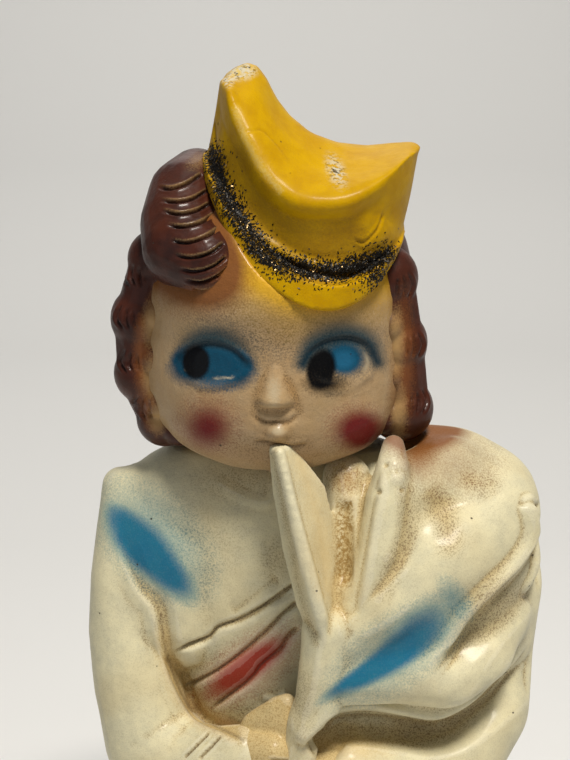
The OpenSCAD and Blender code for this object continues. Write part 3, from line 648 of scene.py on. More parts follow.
pipesSettings = {
    "voxel": 0.72, "soften": 4,
    "recess": [[8, -36, 4, 9], [4, -37, 15, 8], [14, -33, 18, 9], [30, -30, 18, 11], [48, -24, 20, 13]],
    "notch": [[14, -21, 92, 8], [15, -26, 86, 7.5], [14, -30, 74, 8], [11, -38, 55, 7.5]],
    "lobes": [[[11, -43, 46, 8], [26, -38, 56, 13], [44, -29, 68, 18], [62, -14, 78, 17], [62, -6, 82, 16],
         [52, 0, 88, 15], [40, 0, 92, 12]],
        [[10, -43, 42, 7], [36, -36, 48, 11], [54, -28, 56, 14], [64, -18, 64, 15]],
        [[9, -44, 34, 8], [30, -42, 35, 10], [44, -40, 33, 11], [58, -32, 38, 10], [66, -22, 46, 10]],
        [[33, -24, 88, 12], [48, -12, 90, 14]], [[31, -28, 88, 9], [28, -35, 70, 9], [20, -41, 52, 8]],
        [[22, -26, 88, 6], [20, -31, 78, 7], [15, -37, 60, 7]],
        [[9, -44, 36, 8], [1, -46, 20, 6], [-2, -47, 4, 5.5]]],
    "arm": [[58, 2, 84, 10], [64, 0, 66, 15], [65, -6, 50, 16.5], [62.5, -11, 30, 16], [60, -17, 10, 17],
        [50, -28, -2, 16.5], [36, -36, -4, 13.5], [24, -41, 0, 11.5], [16, -44, 3, 10]],
    "blowpipe": [[-7.5, 109, [0, -44.5], [-1.8, -40], [3.5, -38]], [-4, 94, [0, -49], [-4, -40], [10, -34]],
        [0, 77, [0, -53], [-5, -42], [10, -35]], [4.5, 60, [0, -54], [-5.5, -44], [5, -42]],
        [7.5, 49, [0, -53], [-4, -46], [3, -47]]],
    "drone": [[28.5, -25, 104, 3.5], [28, -31, 98, 5.5], [26, -34, 89, 7], [23.5, -39, 74, 7],
        [18, -41, 58, 7], [12, -42, 46, 6]],
    "chanter": [[8, -44, 50, 8.5], [6, -46, 36, 7.5], [1, -47, 16, 4.5], [-2, -50, -6, 4.5],
        [-4, -52, -22, 4.5], [-5, -53, -30, 7]],
    "pits": [((386, 465), 3.2), ((379, 492), 3), ((402, 490), 2.4), ((397, 472), 1.8), ((284, 468), 1.6),
        ((292, 496), 1.6)],
    "pipeCuts": [([(278, 448), (290, 495), (310, 570), (327, 633)],
         [(-12, 0), (-5, 0.2), (0, 1.5), (4, 0.2), (9, 0)], (0.02, 0.1)),
        ([(345, 498), (345, 540), (343, 590)], [(-10, 0), (-3, -1.6), (0, -2.0), (4, -1.4), (10, 0)],
         (0.15, 0.2)),
        ([(386, 468), (377, 520), (368, 570), (360, 618)],
         [(-26, 0), (-10, 0.5), (0, 1.4), (6, -0.2), (13, -0.3), (20, 0)], (0.12, 0.15))],
    "bagCuts": [([(322, 633), (314, 687), (298, 745)], [(-24, 0), (-8, 0.3), (0, 1.0), (6, 0.4), (13, 0)],
         (0.15, 0.05)),
        (rimLow, [(-30, 0), (-12, 0.5), (-2, 2.0), (2, 0.8), (5, -2.6), (14, -4.6), (28, -2.2), (40, 0)],
         (0.04, 0.15)),
        (rimHigh, [(-46, 0), (-32, -1.6), (-16, -3.2), (-8, -1.8), (-4, 0.8), (0, 2.8), (5, 2.3), (12, 0)],
         (0.03, 0.2)),
        ([(425, 487), (437, 505), (447, 525), (450, 560)], (26, -0.8), (0.35, 0.4)),
        ([(432, 486), (467, 498), (507, 480)], [(-20, 0), (-4, 0.4), (6, -0.5), (24, 0)], (0.35, 0.35))],
    "sprays": {"blue": [((346, 683), (42, 9), 1.0, -36, 1.2), ((372, 670), (52, 14), 1.3, -36, 1.2),
            ((396, 654), (54, 20), 1.4, -36, 1.2), ((414, 636), (44, 26), 0.9, -36, 1.2),
            ((432, 620), (40, 28), 0.5, -36, 1.2), ((396, 652), (100, 44), 0.5, -36, 1.2),
            ((456, 598), (16, 32), 0.5, -36, 1.2)],
        # Brown overspray by the hair; the small puff at the throat panel is painted shade under the chin
        "brown": [((422, 430), (62, 30), 2.4, -6), ((418, 448), (28, 40), 0.9),
            ((448, 458), (80, 56), 0.45), ((345, 478), (26, 26), 0.35)],
        "yellow": [([(350, 470), (348, 540), (343, 610)], (24, 0.45)),
            ([(300, 460), (318, 520), (327, 590)], (18, 0.7)),
            ((345, 750), (70, 26), 0.8)],
        "sand": [([(345, 496), (345, 540), (343, 592)], [(-10, 0), (-6, 1), (7, 1), (11, 0)], (0.06, 0.1))],
        # Painted shade on the throat panel under the chin, along the blowpipe's left edge, beside the drone
        # and in the recess under the lower rim; dirt in the bag's valleys
        "grime": [((345, 478), (30, 24), 1.0), ((420, 445), (34, 26), 0.8),
            ([(406, 480), (405, 530), (392, 565), (375, 608)], [(-16, 0), (0, 0.7), (12, 0)], (0.1, 0.2)),
            ([(455, 470), (480, 485), (505, 478)], [(-14, 0), (0, 0.6), (16, 0)], (0.3, 0.3)),
            ([(278, 455), (290, 520), (304, 590), (318, 640)], [(-2, 0), (4, 0.5), (10, 0)]),
            ([(425, 487), (440, 507), (448, 530), (450, 565)], (18, 0.9), (0.1, 0.3)),
            ((490, 605), (56, 36), 0.85, -40), ((370, 735), (90, 24), 0.35), ((300, 700), (20, 60), 0.4)],
        # A dark line painted under the lower rim, as shade
        "line": [(rimLow, [(3, 0), (7, 0.25), (14, 0)], (0.1, 0.3))]}}


def makePipes(settings):
    bm = bmesh.new()
    for lobe in settings["lobes"]:
        addChain(bm, lobe, bodyAt)
    for key, detail in (("arm", 3), ("recess", 2), ("notch", 2), ("drone", 3), ("chanter", 3)):
        addChain(bm, settings[key], bodyAt, detail=detail)
    slices = [[(*bodyAt(x + corner[0], corner[1] + 1, z - 1), 1.2) for corner in (crest, left, right)]
              for x, z, crest, left, right in settings["blowpipe"]]
    for upper, lower in zip(slices, slices[1:]):
        addHull(bm, upper + lower)
    clay = Clay("pipesCasting", bm, settings["voxel"], settings["soften"])
    clay.relax(80, np.maximum(clay.within(415, 400, 600, 800), clay.within(350, 645, 600, 800)))
    clay.carveAll(settings["pipeCuts"])
    clay.relax(30, clay.within(300, 640, 335, 745, 8))
    clay.carveAll(settings["bagCuts"])
    clay.dab((455, 465), (44, 24), -0.8)
    clay.relax(20, clay.within(418, 455, 490, 565) * clay.front)
    clay.dab((528, 500), (8, 8), 1.3)
    clay.dab((397, 478), (9, 9), 0.9)
    clay.settle()
    for spot, size in settings["pits"]:
        clay.dab(spot, (size, size), -1.1, power=1)
    clay.relax(1)
    clay.wobble(0.35, 15, 2)
    clay.spray(settings["sprays"])
    nodes = ("pipe_bag", "blowpipe", "drone", "chanter", "sleeve_left")
    return clay.finish(materials["cream"], "cream_plaster", *nodes)


makePipes(pipesSettings)

# Face and neck

faceSettings = {
    "voxel": 0.55, "soften": 8, "browSet": 10,
    "rows": [[-44, 1, -7, 24, 24, 15], [-39, 1, -4, 34, 33, 23], [-30, 0.5, -1, 40.5, 39, 31],
        [-18, 0, 0, 42.5, 41, 36], [-3, 0, 0, 41, 40, 39.5], [12, 0, 0, 40, 41, 40], [26, 0, 0, 34, 36, 33],
        [36, 0, 0, 25, 27, 24], [43, 0, 0, 10, 12, 12]],
    "dabs": [((213, 360), (46, 34), -1.9), ((340, 357), (44, 34), -1.9),
        ((213, 366), (38, 24), 1.7, 0, 0.8), ((343, 362), (36, 25), 1.7, 0, 0.8),
        ((203, 425), (40, 36), 1.0), ((362, 430), (40, 36), 1.0), ((278, 432), (44, 24), 1.2)],
    "nose": [[1.2, -38.8, -9, 2.2], [-3.4, -39.6, -18.6, 2.2], [5.2, -39.6, -18.6, 2.2],
        [-0.9, -42.6, -18.4, 2.0], [2.7, -42.6, -18.4, 2.0]],
    "cuts": [([(180, 356), (190, 347), (204, 342), (218, 343), (234, 350), (250, 366)],
         [(-7, 0), (-2, 0.7), (1, -0.8), (4, -0.4), (8, 0)]),
        ([(305, 356), (316, 346), (330, 339), (349, 337), (366, 344), (376, 361)],
         [(-7, 0), (-2, 0.7), (1, -0.8), (4, -0.4), (8, 0)]),
        ([(190, 384), (212, 387), (236, 380), (250, 369)], (6, 0.5)),
        ([(322, 391), (340, 390), (358, 384), (374, 371)], (6, 0.5)),
        ([(250, 442), (262, 441), (276, 444), (292, 446), (310, 443)],
         [(-5, 0), (-2.5, 0.5), (0, -0.9), (4, 0)], (0.2, 0.2)),
        ([(255, 414), (264, 420), (277, 421), (290, 420), (297, 413)],
         [(-6, 0), (-3, 0.3), (1, -0.8), (6, 0)], (0.1, 0.1))],
    "sprays": {"haze": [((214, 352), (50, 42), 0.95), ((342, 348), (56, 42), 0.95),
            ((318, 356), (28, 28), 0.7), ((212, 346), (40, 26), 0.6), ((285, 330), (130, 46), 0.22, 0, 1),
            ([(178, 358), (190, 345), (206, 338), (222, 341), (240, 352), (252, 368)],
             [(-12, 0), (0, 0.8), (10, 0)]),
            ([(303, 364), (314, 345), (330, 336), (349, 333), (368, 341), (378, 362)],
             [(-14, 0), (0, 0.9), (12, 0)])],
        "iris": [([(188, 364), (212, 364), (236, 368)], [(-21, 0), (-14, 1), (12, 1), (26, 0)]),
            ((216, 368), (42, 28), 0.9), ((345, 359), (26, 22), 1.8)],
        "glow": [((218, 385), (30, 12), 0.35), ((344, 360), (18, 16), 1.3)],
        # Painted highlights: glints on the eyes, on the nose and on the upper lip; a pale rim at the right
        # eye
        "bare": [([(363, 350), (368, 362), (362, 374)], (3, 0.5), (0.4, 0.3)),
            ([(183, 369), (192, 371), (201, 370)], (1.6, 0.8), (0.2, 0.2)),
            ([(211, 378), (224, 378), (236, 377)], (1.6, 0.8), (0.2, 0.2)),
            ([(306, 381), (311, 375), (318, 376), (327, 367)], (1.6, 0.8), (0.2, 0.2)),
            ((278, 431), (11, 7), 0.8), ((274, 392), (10, 22), 0.65)],
        "lash": [([(180, 357), (190, 347), (204, 343), (218, 344), (234, 351), (247, 363)],
             [(-6, 0), (0, 0.75), (7, 0)]),
            ([(303, 364), (312, 350), (328, 341), (349, 338), (368, 345), (377, 362)],
             (8, 0.9))],
        "pupil": [((196, 362), (15, 19), 2.2, 0, 0.8), ((321, 369), (16, 23), 2.0, 14, 0.8),
            ((326, 384), (32, 17), 1.0)],
        "blush": [((207, 425), (46, 42), 0.65), ((208, 428), (28, 26), 1.0), ((358, 429), (44, 36), 0.7),
            ((361, 431), (30, 25), 1.4, 0, 1.6), ((402, 420), (14, 26), 0.4)],
        # Painted shade along the nose's sides; darker below the mouth and above the eyes
        "grime": [([(262, 380), (257, 398), (254, 413)], [(-8, 0), (0, 0.6), (6, 0)]),
            ([(288, 380), (296, 398), (300, 412)], [(-6, 0), (0, 0.8), (8, 0)]),
            ((290, 335), (110, 34), 0.55), ((277, 452), (90, 26), 0.5)],
        # The mouth line, and a dark line painted as shade under the nose
        "line": [([(252, 442), (264, 441), (277, 444), (292, 446), (308, 444)],
             [(-1.6, 0), (0, 0.6), (1.8, 0)], (0.2, 0.2)),
            ([(256, 417), (265, 421), (277, 422), (289, 421), (296, 416)], [(-2, 0), (0.5, 0.5), (3, 0)],
             (0.2, 0.2))],
        "yellow": [([(205, 215), (225, 262), (262, 296), (300, 312), (345, 305), (395, 285)],
             [(-70, 1), (-30, 1), (-4, 0.9), (14, 0.35), (40, 0)], (0.2, 0))],
        "brown": [([(140, 280), (180, 302), (212, 306), (236, 292), (241, 262), (228, 225), (214, 190)],
             [(-40, 1.4), (-16, 1.4), (-4, 1.0), (8, 0.35), (20, 0)], (0, 0.05)),
            ([(396, 270), (402, 340), (396, 410)], [(-20, 0), (0, 0.7), (13, 0)])]}}


def makeFace(settings):
    bm = bmesh.new()
    addOvals(bm, settings["rows"], headAt)
    addHull(bm, placed(settings["nose"], headAt))
    addChain(bm, [(*bodyAt(-8, 0, 78), 19), (*headAt(0, 0, -30), 19)])
    clay = Clay("face", bm, settings["voxel"], settings["soften"])
    midX, midY, half, deep, z, left, back, ends, _ = capSettings["flap"]
    c, s = (clay.co[:, 0] - headSpot[0] - midX) / half, (clay.co[:, 1] - midY) / deep
    under = clay.co[:, 2] - headSpot[2] - (z + left * c + back * s + ends * (c * c - s * s))
    clay.co[:, 1] += settings["browSet"] * smoothStep(under, -1, 5) * smoothStep(-clay.co[:, 1], 0, 12)
    for dab in settings["dabs"]:
        clay.dab(*dab)
    clay.settle()
    clay.carveAll(settings["cuts"])
    clay.dab((278, 433), (13, 10), 2.0)
    clay.relax(2)
    clay.wobble(0.25, 12, 3)
    clay.spray(settings["sprays"])
    return clay.finish(materials["skin"], "skin_plaster", "head", "neck")


# Hair: the rolled wave, the curls at both sides and the back

hairSettingsShape = {
    "grooveCut": [(-5, 0), (-2, 0.3), (-0.7, -1.5), (0.7, -1.5), (2, 0.3), (5, 0)],
    "waveVoxel": 0.42, "backVoxel": 0.85, "curlVoxel": 0.6,
    "wave": [[-24, 4, 42, 10], [-27, -4, 38, 12], [-28, -12, 30, 13], [-27, -19, 24, 13],
        [-19, -27, 20.5, 10.5]],
    "waveFill": [[-17, -15, 30, 8], [-18, -20, 22, 8]],
    "grooves": [[(157, 187), (170, 189), (186, 184), (202, 174)],
        [(159, 200), (175, 202), (192, 199), (208, 190)], [(160, 210), (178, 214), (196, 211), (211, 203)],
        [(166, 225), (182, 227), (200, 223), (215, 214)], [(169, 240), (185, 243), (203, 238), (220, 228)],
        [(173, 255), (190, 258), (210, 253), (224, 243)], [(178, 269), (195, 272), (213, 267), (227, 257)],
        [(183, 280), (200, 283), (217, 277), (231, 266)], [(192, 290), (204, 292), (218, 287), (230, 278)]],
    "back": [[-52, 0, 17, 22, 10, 20], [-38, 0, 13, 36, 16, 30], [-16, 0, 8, 45, 18, 38],
        [7, 0, 6, 46, 20, 40], [27, 0, 4, 41, 22, 37], [37, 0, 2, 31, 20, 30], [44, 0, 1, 18, 16, 18]],
    "combs": 9, "combDepth": 1.1, "combSway": 14,
    "right": {"side": -1,
        "balls": [[-36, -6, 18, 10], [-41, -6, -1, 11], [-41, -6, -19, 10.5], [-35, -7, -34, 9.5]],
        "inner": [[-33, -14, 14, 4.5], [-35.5, -13, 2, 5.5], [-36, -13, -12, 6], [-34.5, -14, -26, 6],
            [-30, -15, -36, 5]],
        "spots": [(128, 275), (122, 318), (126, 362), (138, 408)], "shifts": (0, 9, 18), "bend": -6,
        "tip": (2, 12),
        "sprays": {
            "orange": [([(160, 290), (142, 330), (142, 380), (152, 425)], [(-16, 0), (0, 0.8), (10, 0)])],
            # Pale plaster with painted highlight on the inner curls
            "bare": [((152, 325), (13, 34)), ((152, 378), (14, 30)), ((158, 418), (14, 22))]}},
    "left": {"side": 1,
        "balls": [[35.5, -6, 12, 11], [39, -6, -9, 11], [41.5, -6, -31, 11]],
        "inner": [[34, -13, 12, 4.5], [36, -13, -2, 5.5], [36, -13, -18, 5.5], [35, -14, -32, 5.5]],
        "spots": [(408, 285), (418, 345), (422, 402)], "shifts": (0, 8, 16), "bend": 5, "tip": (0, 13),
        "sprays": {"orange": [((404, 360), (16, 96), 0.7)],
            # Pale plaster with painted highlight on the inner curls
            "bare": [((396, 345), (12, 52)), ((399, 412), (12, 40), 0.9)]}},
    "sprays": {"orange": [((228, 285), (26, 46), 0.6, 20), ((200, 298), (50, 16), 0.8)],
        # A pale spot on the wave's top, painted as highlight
        "bare": [((200, 160), (22, 12), 0.3, -30)]}}


def makeWave(settings):
    bm = bmesh.new()
    addChain(bm, settings["wave"], headAt, detail=3)
    addChain(bm, settings["waveFill"], headAt)
    clay = Clay("hairWave", bm, settings["waveVoxel"], 6)
    for groove in settings["grooves"]:
        clay.carve(groove, settings["grooveCut"], (0.2, 0.06))
        # Each groove gets a dark line painted as shade, and a pale line above it as painted highlight
        clay.brush("line", groove, (1.5, 0.9), (0.2, 0.08))
        clay.brush("bare", [(x, y - 2.6) for x, y in groove], (1.5, 0.5), (0.3, 0.1))
    clay.relax(1)
    clay.spray(settings["sprays"])
    return clay.finish(materials["hair"], "hair_plaster", "hair_wave")


def makeBackHair(settings):
    bm = bmesh.new()
    addOvals(bm, settings["back"], headAt)
    clay = Clay("hairBack", bm, settings["backVoxel"], 4)
    angle = np.degrees(np.arctan2(clay.co[:, 1] - 6, clay.co[:, 0] - headSpot[0]))
    combed = np.sin(np.radians(angle * settings["combs"] + settings["combSway"] * np.sin(clay.co[:, 2] / 9)))
    clay.co += clay.normal * (combed * settings["combDepth"] * smoothStep(clay.co[:, 1], -6, 8))[:, None]
    clay.settle()
    return clay.finish(materials["hair"], "hair_plaster", "hair_back")


def makeCurls(name, settings, voxel, node):
    bm = bmesh.new()
    side = settings["side"]
    for x, y, z, r in settings["inner"]:
        addHull(bm, placed([(x, y, z, r), (x + side * 4, y + 8, z - 1, r)], headAt), 3)
    for x, y, z, r in settings["balls"]:
        addHull(bm, placed([(x, y, z, r), (x - side * 6, y + 22, z - 1, r)], headAt), 3)
    addChain(bm, [[x, y, z, r * 0.9] for x, y, z, r in settings["balls"]], headAt)
    clay = Clay(name, bm, voxel, 7)
    for x, y in settings["spots"]:
        for shift in settings["shifts"]:
            start = (x - side * shift * 0.6, y + shift * 0.35 - 14)
            middle = (x - side * shift + settings["bend"], y + shift * 0.3)
            end = (x - side * shift * 0.7 + settings["tip"][0], y + settings["tip"][1])
            clay.carve([start, middle, end], [(-5, 0), (-2, 0.5), (0, -1.3), (2, 0.5), (5, 0)], (0.25, 0.25))
    clay.relax(1)
    clay.spray(settings["sprays"])
    return clay.finish(materials["hair"], "hair_plaster", node)


makeWave(hairSettingsShape)
makeBackHair(hairSettingsShape)
makeCurls("curlsRight", hairSettingsShape["right"], hairSettingsShape["curlVoxel"], "curls_right")
makeCurls("curlsLeft", hairSettingsShape["left"], hairSettingsShape["curlVoxel"], "curls_left")

# Cap: crown and flap in one casting, glitter flakes along the flap

ridgeLine = [(230, 77), (232, 100), (237, 120), (250, 147), (263, 173), (277, 190), (297, 203), (323, 205),
    (350, 203), (373, 187), (393, 173)]
bandLine = [(212, 150), (219, 180), (232, 208), (248, 232), (268, 256), (295, 268), (330, 272), (362, 266),
    (393, 252)]

capSettings = {
    "voxel": 0.55, "soften": 5, "inset": 6, "top": [15, 1, 29.5, 0, 1.02], "crest": [15, 1, 30, 5, 1.0],
    "peak": [15.2, -1, 31, 16, 0.7], "slope": [15.4, -3, 31, 26, 0.28], "ridge": [15.5, -4, 31, 31.6, 0.0],
    "under": [14.8, -4, 30.6, 31.6, -0.14], "wall": [11.4, -2, 31.2, 29.8, 35, -9, 4, 7.5, 2],
    "crestHigh": [(-16, 71), (-14.5, 75), (-11.5, 77), (-7.8, 78.4), (-4.4, 77.2), (-1.6, 73.5),
        (1.5, 67.5), (5.6, 61.9), (11.9, 56.9), (20.4, 53.8), (29.8, 52.9), (37.1, 53.8), (44.3, 54.4),
        (46.5, 53.6)],
    "ridgeHigh": [(-15.5, 73.5), (-12.4, 71), (-10.3, 63.3), (-6.4, 55.8), (-2.5, 48.4), (1.6, 43.7),
        (7.5, 40.4), (15.2, 39.4), (23.1, 40.4), (30, 44), (36.1, 48.2), (41.5, 52), (46.5, 53)],
    "band": [10.2, -2, 31, 31.5, 31.5, -12, 3.5, 7, -2], "seat": [9, 2, 22, 27, 20, -12, 8, 4, -3],
    "flap": [9.2, -2, 31.3, 40, 25.8, -13, 4, 11.3, -3.5], "lip": [10.3, -2, 32, 39, 32, -12.5, 5, 9, -2.5],
    "creases": [[(352, 258), (372, 262), (388, 252)], [(353, 238), (363, 243), (377, 230), (383, 213)]],
    "edges": [(ridgeLine,
         [(-38, 0), (-22, 0.8), (-8, 1.5), (0, 1.4), (7, 0.2), (16, -1.0), (30, -0.8), (46, 0)],
         (0.1, 0.2))],
    "cracks": [([(243, 132), (256, 130), (264, 131), (278, 146), (290, 162)],
         (1.6, -0.4), (0.1, 0.3)),
        ([(213, 120), (214, 135), (216, 152)], (2, -0.6))],
    # Pale wear at the peak, and a painted highlight along the ridge
    "sprays": {"bare": [((238, 70), (24, 15), 0.6),
            ([(236, 110), (247, 142), (262, 168), (280, 190)], (6, 0.4)),
            ([(310, 118), (340, 137), (370, 142)], (8, 0.25))],
        # Worn plaster at the peak; the patch on the crown is a painted highlight
        "worn": [((238, 70), (26, 14), 1.6), ((228, 79), (10, 12), 1.2), ((336, 171), (13, 26), 1.0, -22)],
        # Glue; the first stroke is painted shade on the wall under the ridge
        "glue": [([(226, 140), (243, 188), (268, 224), (300, 240), (340, 242), (372, 228)],
             [(-24, 0), (-10, 0.55), (10, 0.55), (22, 0)], (0.1, 0.1)),
            ([(212, 190), (224, 222), (238, 256)], [(-4, 0), (2, 0.8), (12, 0)]),
            (bandLine, [(-15, 0), (-5, 0.8), (5, 0.8), (15, 0)], (0.05, 0))]}}


# A ring [middle x, middle y, half length, half depth, z] and its lifts [left, back, both ends, high peak]
def capShape(row):
    def shape(c, s):
        t = min(max((-c - 0.1) / 0.65, 0), 1)
        z = row[4] + row[5] * c + row[6] * s + row[7] * (c * c - s * s) + row[8] * t * t * (3 - 2 * t)
        return headAt(row[0] + row[2] * c, row[1] + row[3] * s, z)

    return shape


# A ring of the crown's top: its height lies between the ridge line, share 0, and the crest line, share 1
def crownShape(row, settings):
    def shape(c, s):
        x, y = row[0] + row[2] * c, row[1] + row[3] * s
        crest, ridge = (np.interp(x, *zip(*settings[key])) for key in ("crestHigh", "ridgeHigh"))
        return headAt(x, y, crest * row[4] + ridge * (1 - row[4]))

    return shape


def makeCap(settings):
    bm = bmesh.new()
    low = [capShape(settings[key]) for key in ("seat", "band", "wall")]
    crown = ("under", "ridge", "slope", "peak", "crest", "top")
    high = [crownShape(settings[key], settings) for key in crown]
    addLoft(bm, low + high, 96, zipped=True)
    inset = settings["inset"]
    inner = [value - cut for value, cut in zip(settings["lip"], (0, 0, inset, inset, 1, 0, 0, 0, 0))]
    low = [value - cut for value, cut in zip(settings["seat"], (0, 0, 0, 0, 2, 0, 0, 0, 0))]
    addLoft(bm, [capShape(row) for row in (low, settings["flap"], settings["lip"], inner)], 72)
    clay = Clay("cap", bm, settings["voxel"], settings["soften"])
    clay.relax(30, np.maximum(clay.within(250, 95, 392, 175), clay.within(270, 180, 400, 225)) * clay.front)
    clay.carveAll(settings["edges"])
    clay.relax(14, clay.within(398, 132, 430, 160, 6))
    clay.relax(14, clay.within(232, 90, 395, 212) * clay.front)
    clay.dab((374, 236), (24, 22), 1.0, 20)
    clay.wobble(0.5, 5, 7, clay.within(358, 205, 392, 255, 9))
    for crease in settings["creases"]:
        clay.carve(crease, [(-5, 0), (-2, 0.3), (0, -0.7), (2, 0.2), (5, 0)])
    clay.carveAll(settings["cracks"])
    clay.relax(1)
    clay.wobble(0.4, 13, 4)
    clay.spray(settings["sprays"])
    return clay.finish(materials["yellow"], "yellow_plaster", "cap_crown", "cap_flap")


cap = makeCap(capSettings)
makeFace(faceSettings)

glitterSettings = {
    "count": 9000, "spread": 4.2, "stray": 8, "strayShare": 0.28, "long": (0.2, 0.6), "slim": 0.45,
    "thick": 0.12, "brightShare": 0.03, "drip": ((378, 8), (276, 9)), "dripShare": 0.06, "batch": 150}


def glitterFinish(name, color, metallic):
    f = Finish(name)
    shade = f.mix(f.noise(1.2, 1).step(0.4, 0.7), color, rgb(*(0.4 * share for share in color[:3])))
    f.connect(Base_Color=shade, Roughness=0.3 + f.noise(0.8, 1) * 0.25)
    f.fixed(Metallic=metallic, Specular_IOR_Level=0.3)
    return f.material


def makeGlitter(settings):
    rng = random.Random(11)
    ground = BVHTree.FromObject(cap, bpy.context.evaluated_depsgraph_get())
    line = curveThrough(bandLine, 2)
    eye = Vector(eyePoint) * mm
    bm, batch = bmesh.new(), bmesh.new()
    passing = bpy.data.meshes.new("passing")
    for number in range(settings["count"]):
        spot = line[int(rng.random() * (len(line) - 1))]
        if rng.random() < settings["dripShare"]:
            spot = [middle + rng.gauss(0, wide) for middle, wide in settings["drip"]]
        loose = settings["stray"] if rng.random() < settings["strayShare"] else settings["spread"]
        across, down = spot[0] + rng.gauss(0, loose), spot[1] + rng.gauss(0, loose)
        sideways = np.array((1, 0, 0)) * (across - cameraSettings["width"] / 2) / focal
        ray = lookAhead + sideways + lookUp * (cameraSettings["height"] / 2 - down) / focal
        hit, normal, _, _ = ground.ray_cast(eye, Vector(ray).normalized())
        if not hit:
            continue
        size = rng.uniform(*settings["long"]) * mm
        lean = Vector((rng.gauss(0, 0.3), rng.gauss(0, 0.3), rng.gauss(0, 0.3)))
        turn = (normal + lean).to_track_quat("Z", "Y").to_matrix().to_4x4()
        turn = turn @ Matrix.Rotation(rng.gauss(0.8, 0.7), 4, "Z")
        slim = Matrix.Diagonal((1, settings["slim"], 1, 1))
        place = Matrix.Translation(hit + normal * size * 0.25) @ turn @ slim
        flake = bmesh.ops.create_circle(batch, cap_ends=True, segments=4, radius=size, matrix=place)
        if rng.random() < settings["brightShare"]:
            for face in {face for vert in flake["verts"] for face in vert.link_faces}:
                face.material_index = 1
        if number % settings["batch"] == settings["batch"] - 1:
            batch.to_mesh(passing)
            bm.from_mesh(passing)
            batch.clear()
    bpy.data.meshes.remove(passing)
    bmesh.ops.solidify(bm, geom=bm.faces[:], thickness=settings["thick"] * mm)
    mesh = bpy.data.meshes.new("glitterFlakes")
    bm.to_mesh(mesh)
    bm.free()
    piece = bpy.data.objects.new("glitterFlakes", mesh)
    scene.collection.objects.link(piece)
    mesh.materials.append(glitterFinish("darkFlakes", rgb(0.008, 0.006, 0.004), 0.2))
    mesh.materials.append(glitterFinish("brightFlakes", rgb(0.6, 0.42, 0.2), 0.9))
    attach(piece, "root")
    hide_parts("glitter_band")
    print("glitter", len(mesh.polygons), "faces")


makeGlitter(glitterSettings)

# Hands

handSettings = {
    "handRight": {"node": "hand_right",
        "balls": [[-16, -43, 8, 8.5], [-9, -46, 9, 8.5], [-3, -48, 8, 7]],
        "fist": [[-8, -41, 22, 3.5], [-5, -42, 24, 3], [-15, -38, 14, 4.5], [-23, -38, -2, 6],
            [-4, -46, 9, 4], [-3, -47, -4, 5]]},
    "handLeft": {"node": "hand_left", "balls": [[16, -44, 2, 9], [9, -46, 1, 9], [3, -48, 0, 8]],
        "fist": [[5, -46, 3.5, 4.5], [15, -43, 3.5, 4.5], [5, -46, -10, 5], [15, -44, -9, 5]]}}


def makeHand(name, settings):
    bm = bmesh.new()
    balls = settings["balls"]
    addChain(bm, balls[:2], bodyAt, grow=-1.5, detail=3)
    addHull(bm, placed(settings["fist"], bodyAt), 3)
    clay = Clay(name, bm, 0.5, 3)
    middle, tip = np.array(bodyAt(*balls[1][:3])), np.array(bodyAt(*balls[2][:3]))
    for k in (-1, 0, 1):
        ends = sketch(np.array([middle + (-2, -9, k * 4.4 - 2), tip + (4, -8, k * 4.4 - 2)]))
        path = list(zip(*ends))
        clay.carve(path, [(-6, 0), (-3, 0.3), (0, -1.3), (3, 0.3), (6, 0)], ends=(0.2, 0))
    clay.relax(2)
    clay.wobble(0.3, 6, 9)
    # Darkened all over: dirt plus painted shade, as the hands sit under the bag
    clay.coats["grime"] = np.full(clay.count, 0.8)
    clay.coats["yellow"] = np.full(clay.count, 0.6)
    return clay.finish(materials["cream"], "skin_plaster", settings["node"])


for name, settings in handSettings.items():
    makeHand(name, settings)

# Kilt and belt

kiltSettings = {
    "voxel": 0.95, "pleats": 18, "depth": 2.6,
    "rows": [[72, 0, 0, 56, 44, 44], [94.4, 0.5, 0, 52, 41, 41], [120, 1.5, 0, 45, 36, 36],
        [136, 2, 0, 40, 31, 31]]}


def makeKilt(settings):
    def pleated(row, share):
        def shape(c, s):
            turn = (math.atan2(s, c) / math.tau) % 1 * settings["pleats"] % 1
            saw = turn ** 1.4 * settings["depth"] * share
            deep = row[4] if s < 0 else row[5]
            return (row[1] + (row[3] - saw) * c, row[2] + (deep - saw) * s, row[0])

        return shape

    rows = finer(settings["rows"], 4)
    bm = bmesh.new()
    addLoft(bm, [pleated(row, 1 - 0.75 * i / (len(rows) - 1)) for i, row in enumerate(rows)], 360)
    clay = Clay("kiltCasting", bm, settings["voxel"], 2)
    clay.wobble(0.6, 18, 5)
    clay.coats["blue"] = 0.9 * smoothStep(-clay.co[:, 2], -84, -73)
    clay.coats["grime"] = 0.5 * smoothStep(-clay.co[:, 2], -90, -74)
    return clay.finish(materials["cream"], "cream_plaster", "kilt")


def makeBelt():
    bm = bmesh.new()
    rows = [(131.5, 0), (133, 1), (139, 1), (140.5, 0)]
    addLoft(bm, [ovalShape([z, 2, 0, 41 + out, 32 + out, 32 + out]) for z, out in rows], 96)
    clay = Clay("beltBand", bm, 0.8, 2)
    clay.wobble(0.3, 9, 6)
    return clay.finish(materials["red"], "red_plaster", "belt")


makeKilt(kiltSettings)
makeBelt()

# Legs, socks, shoes and plinth

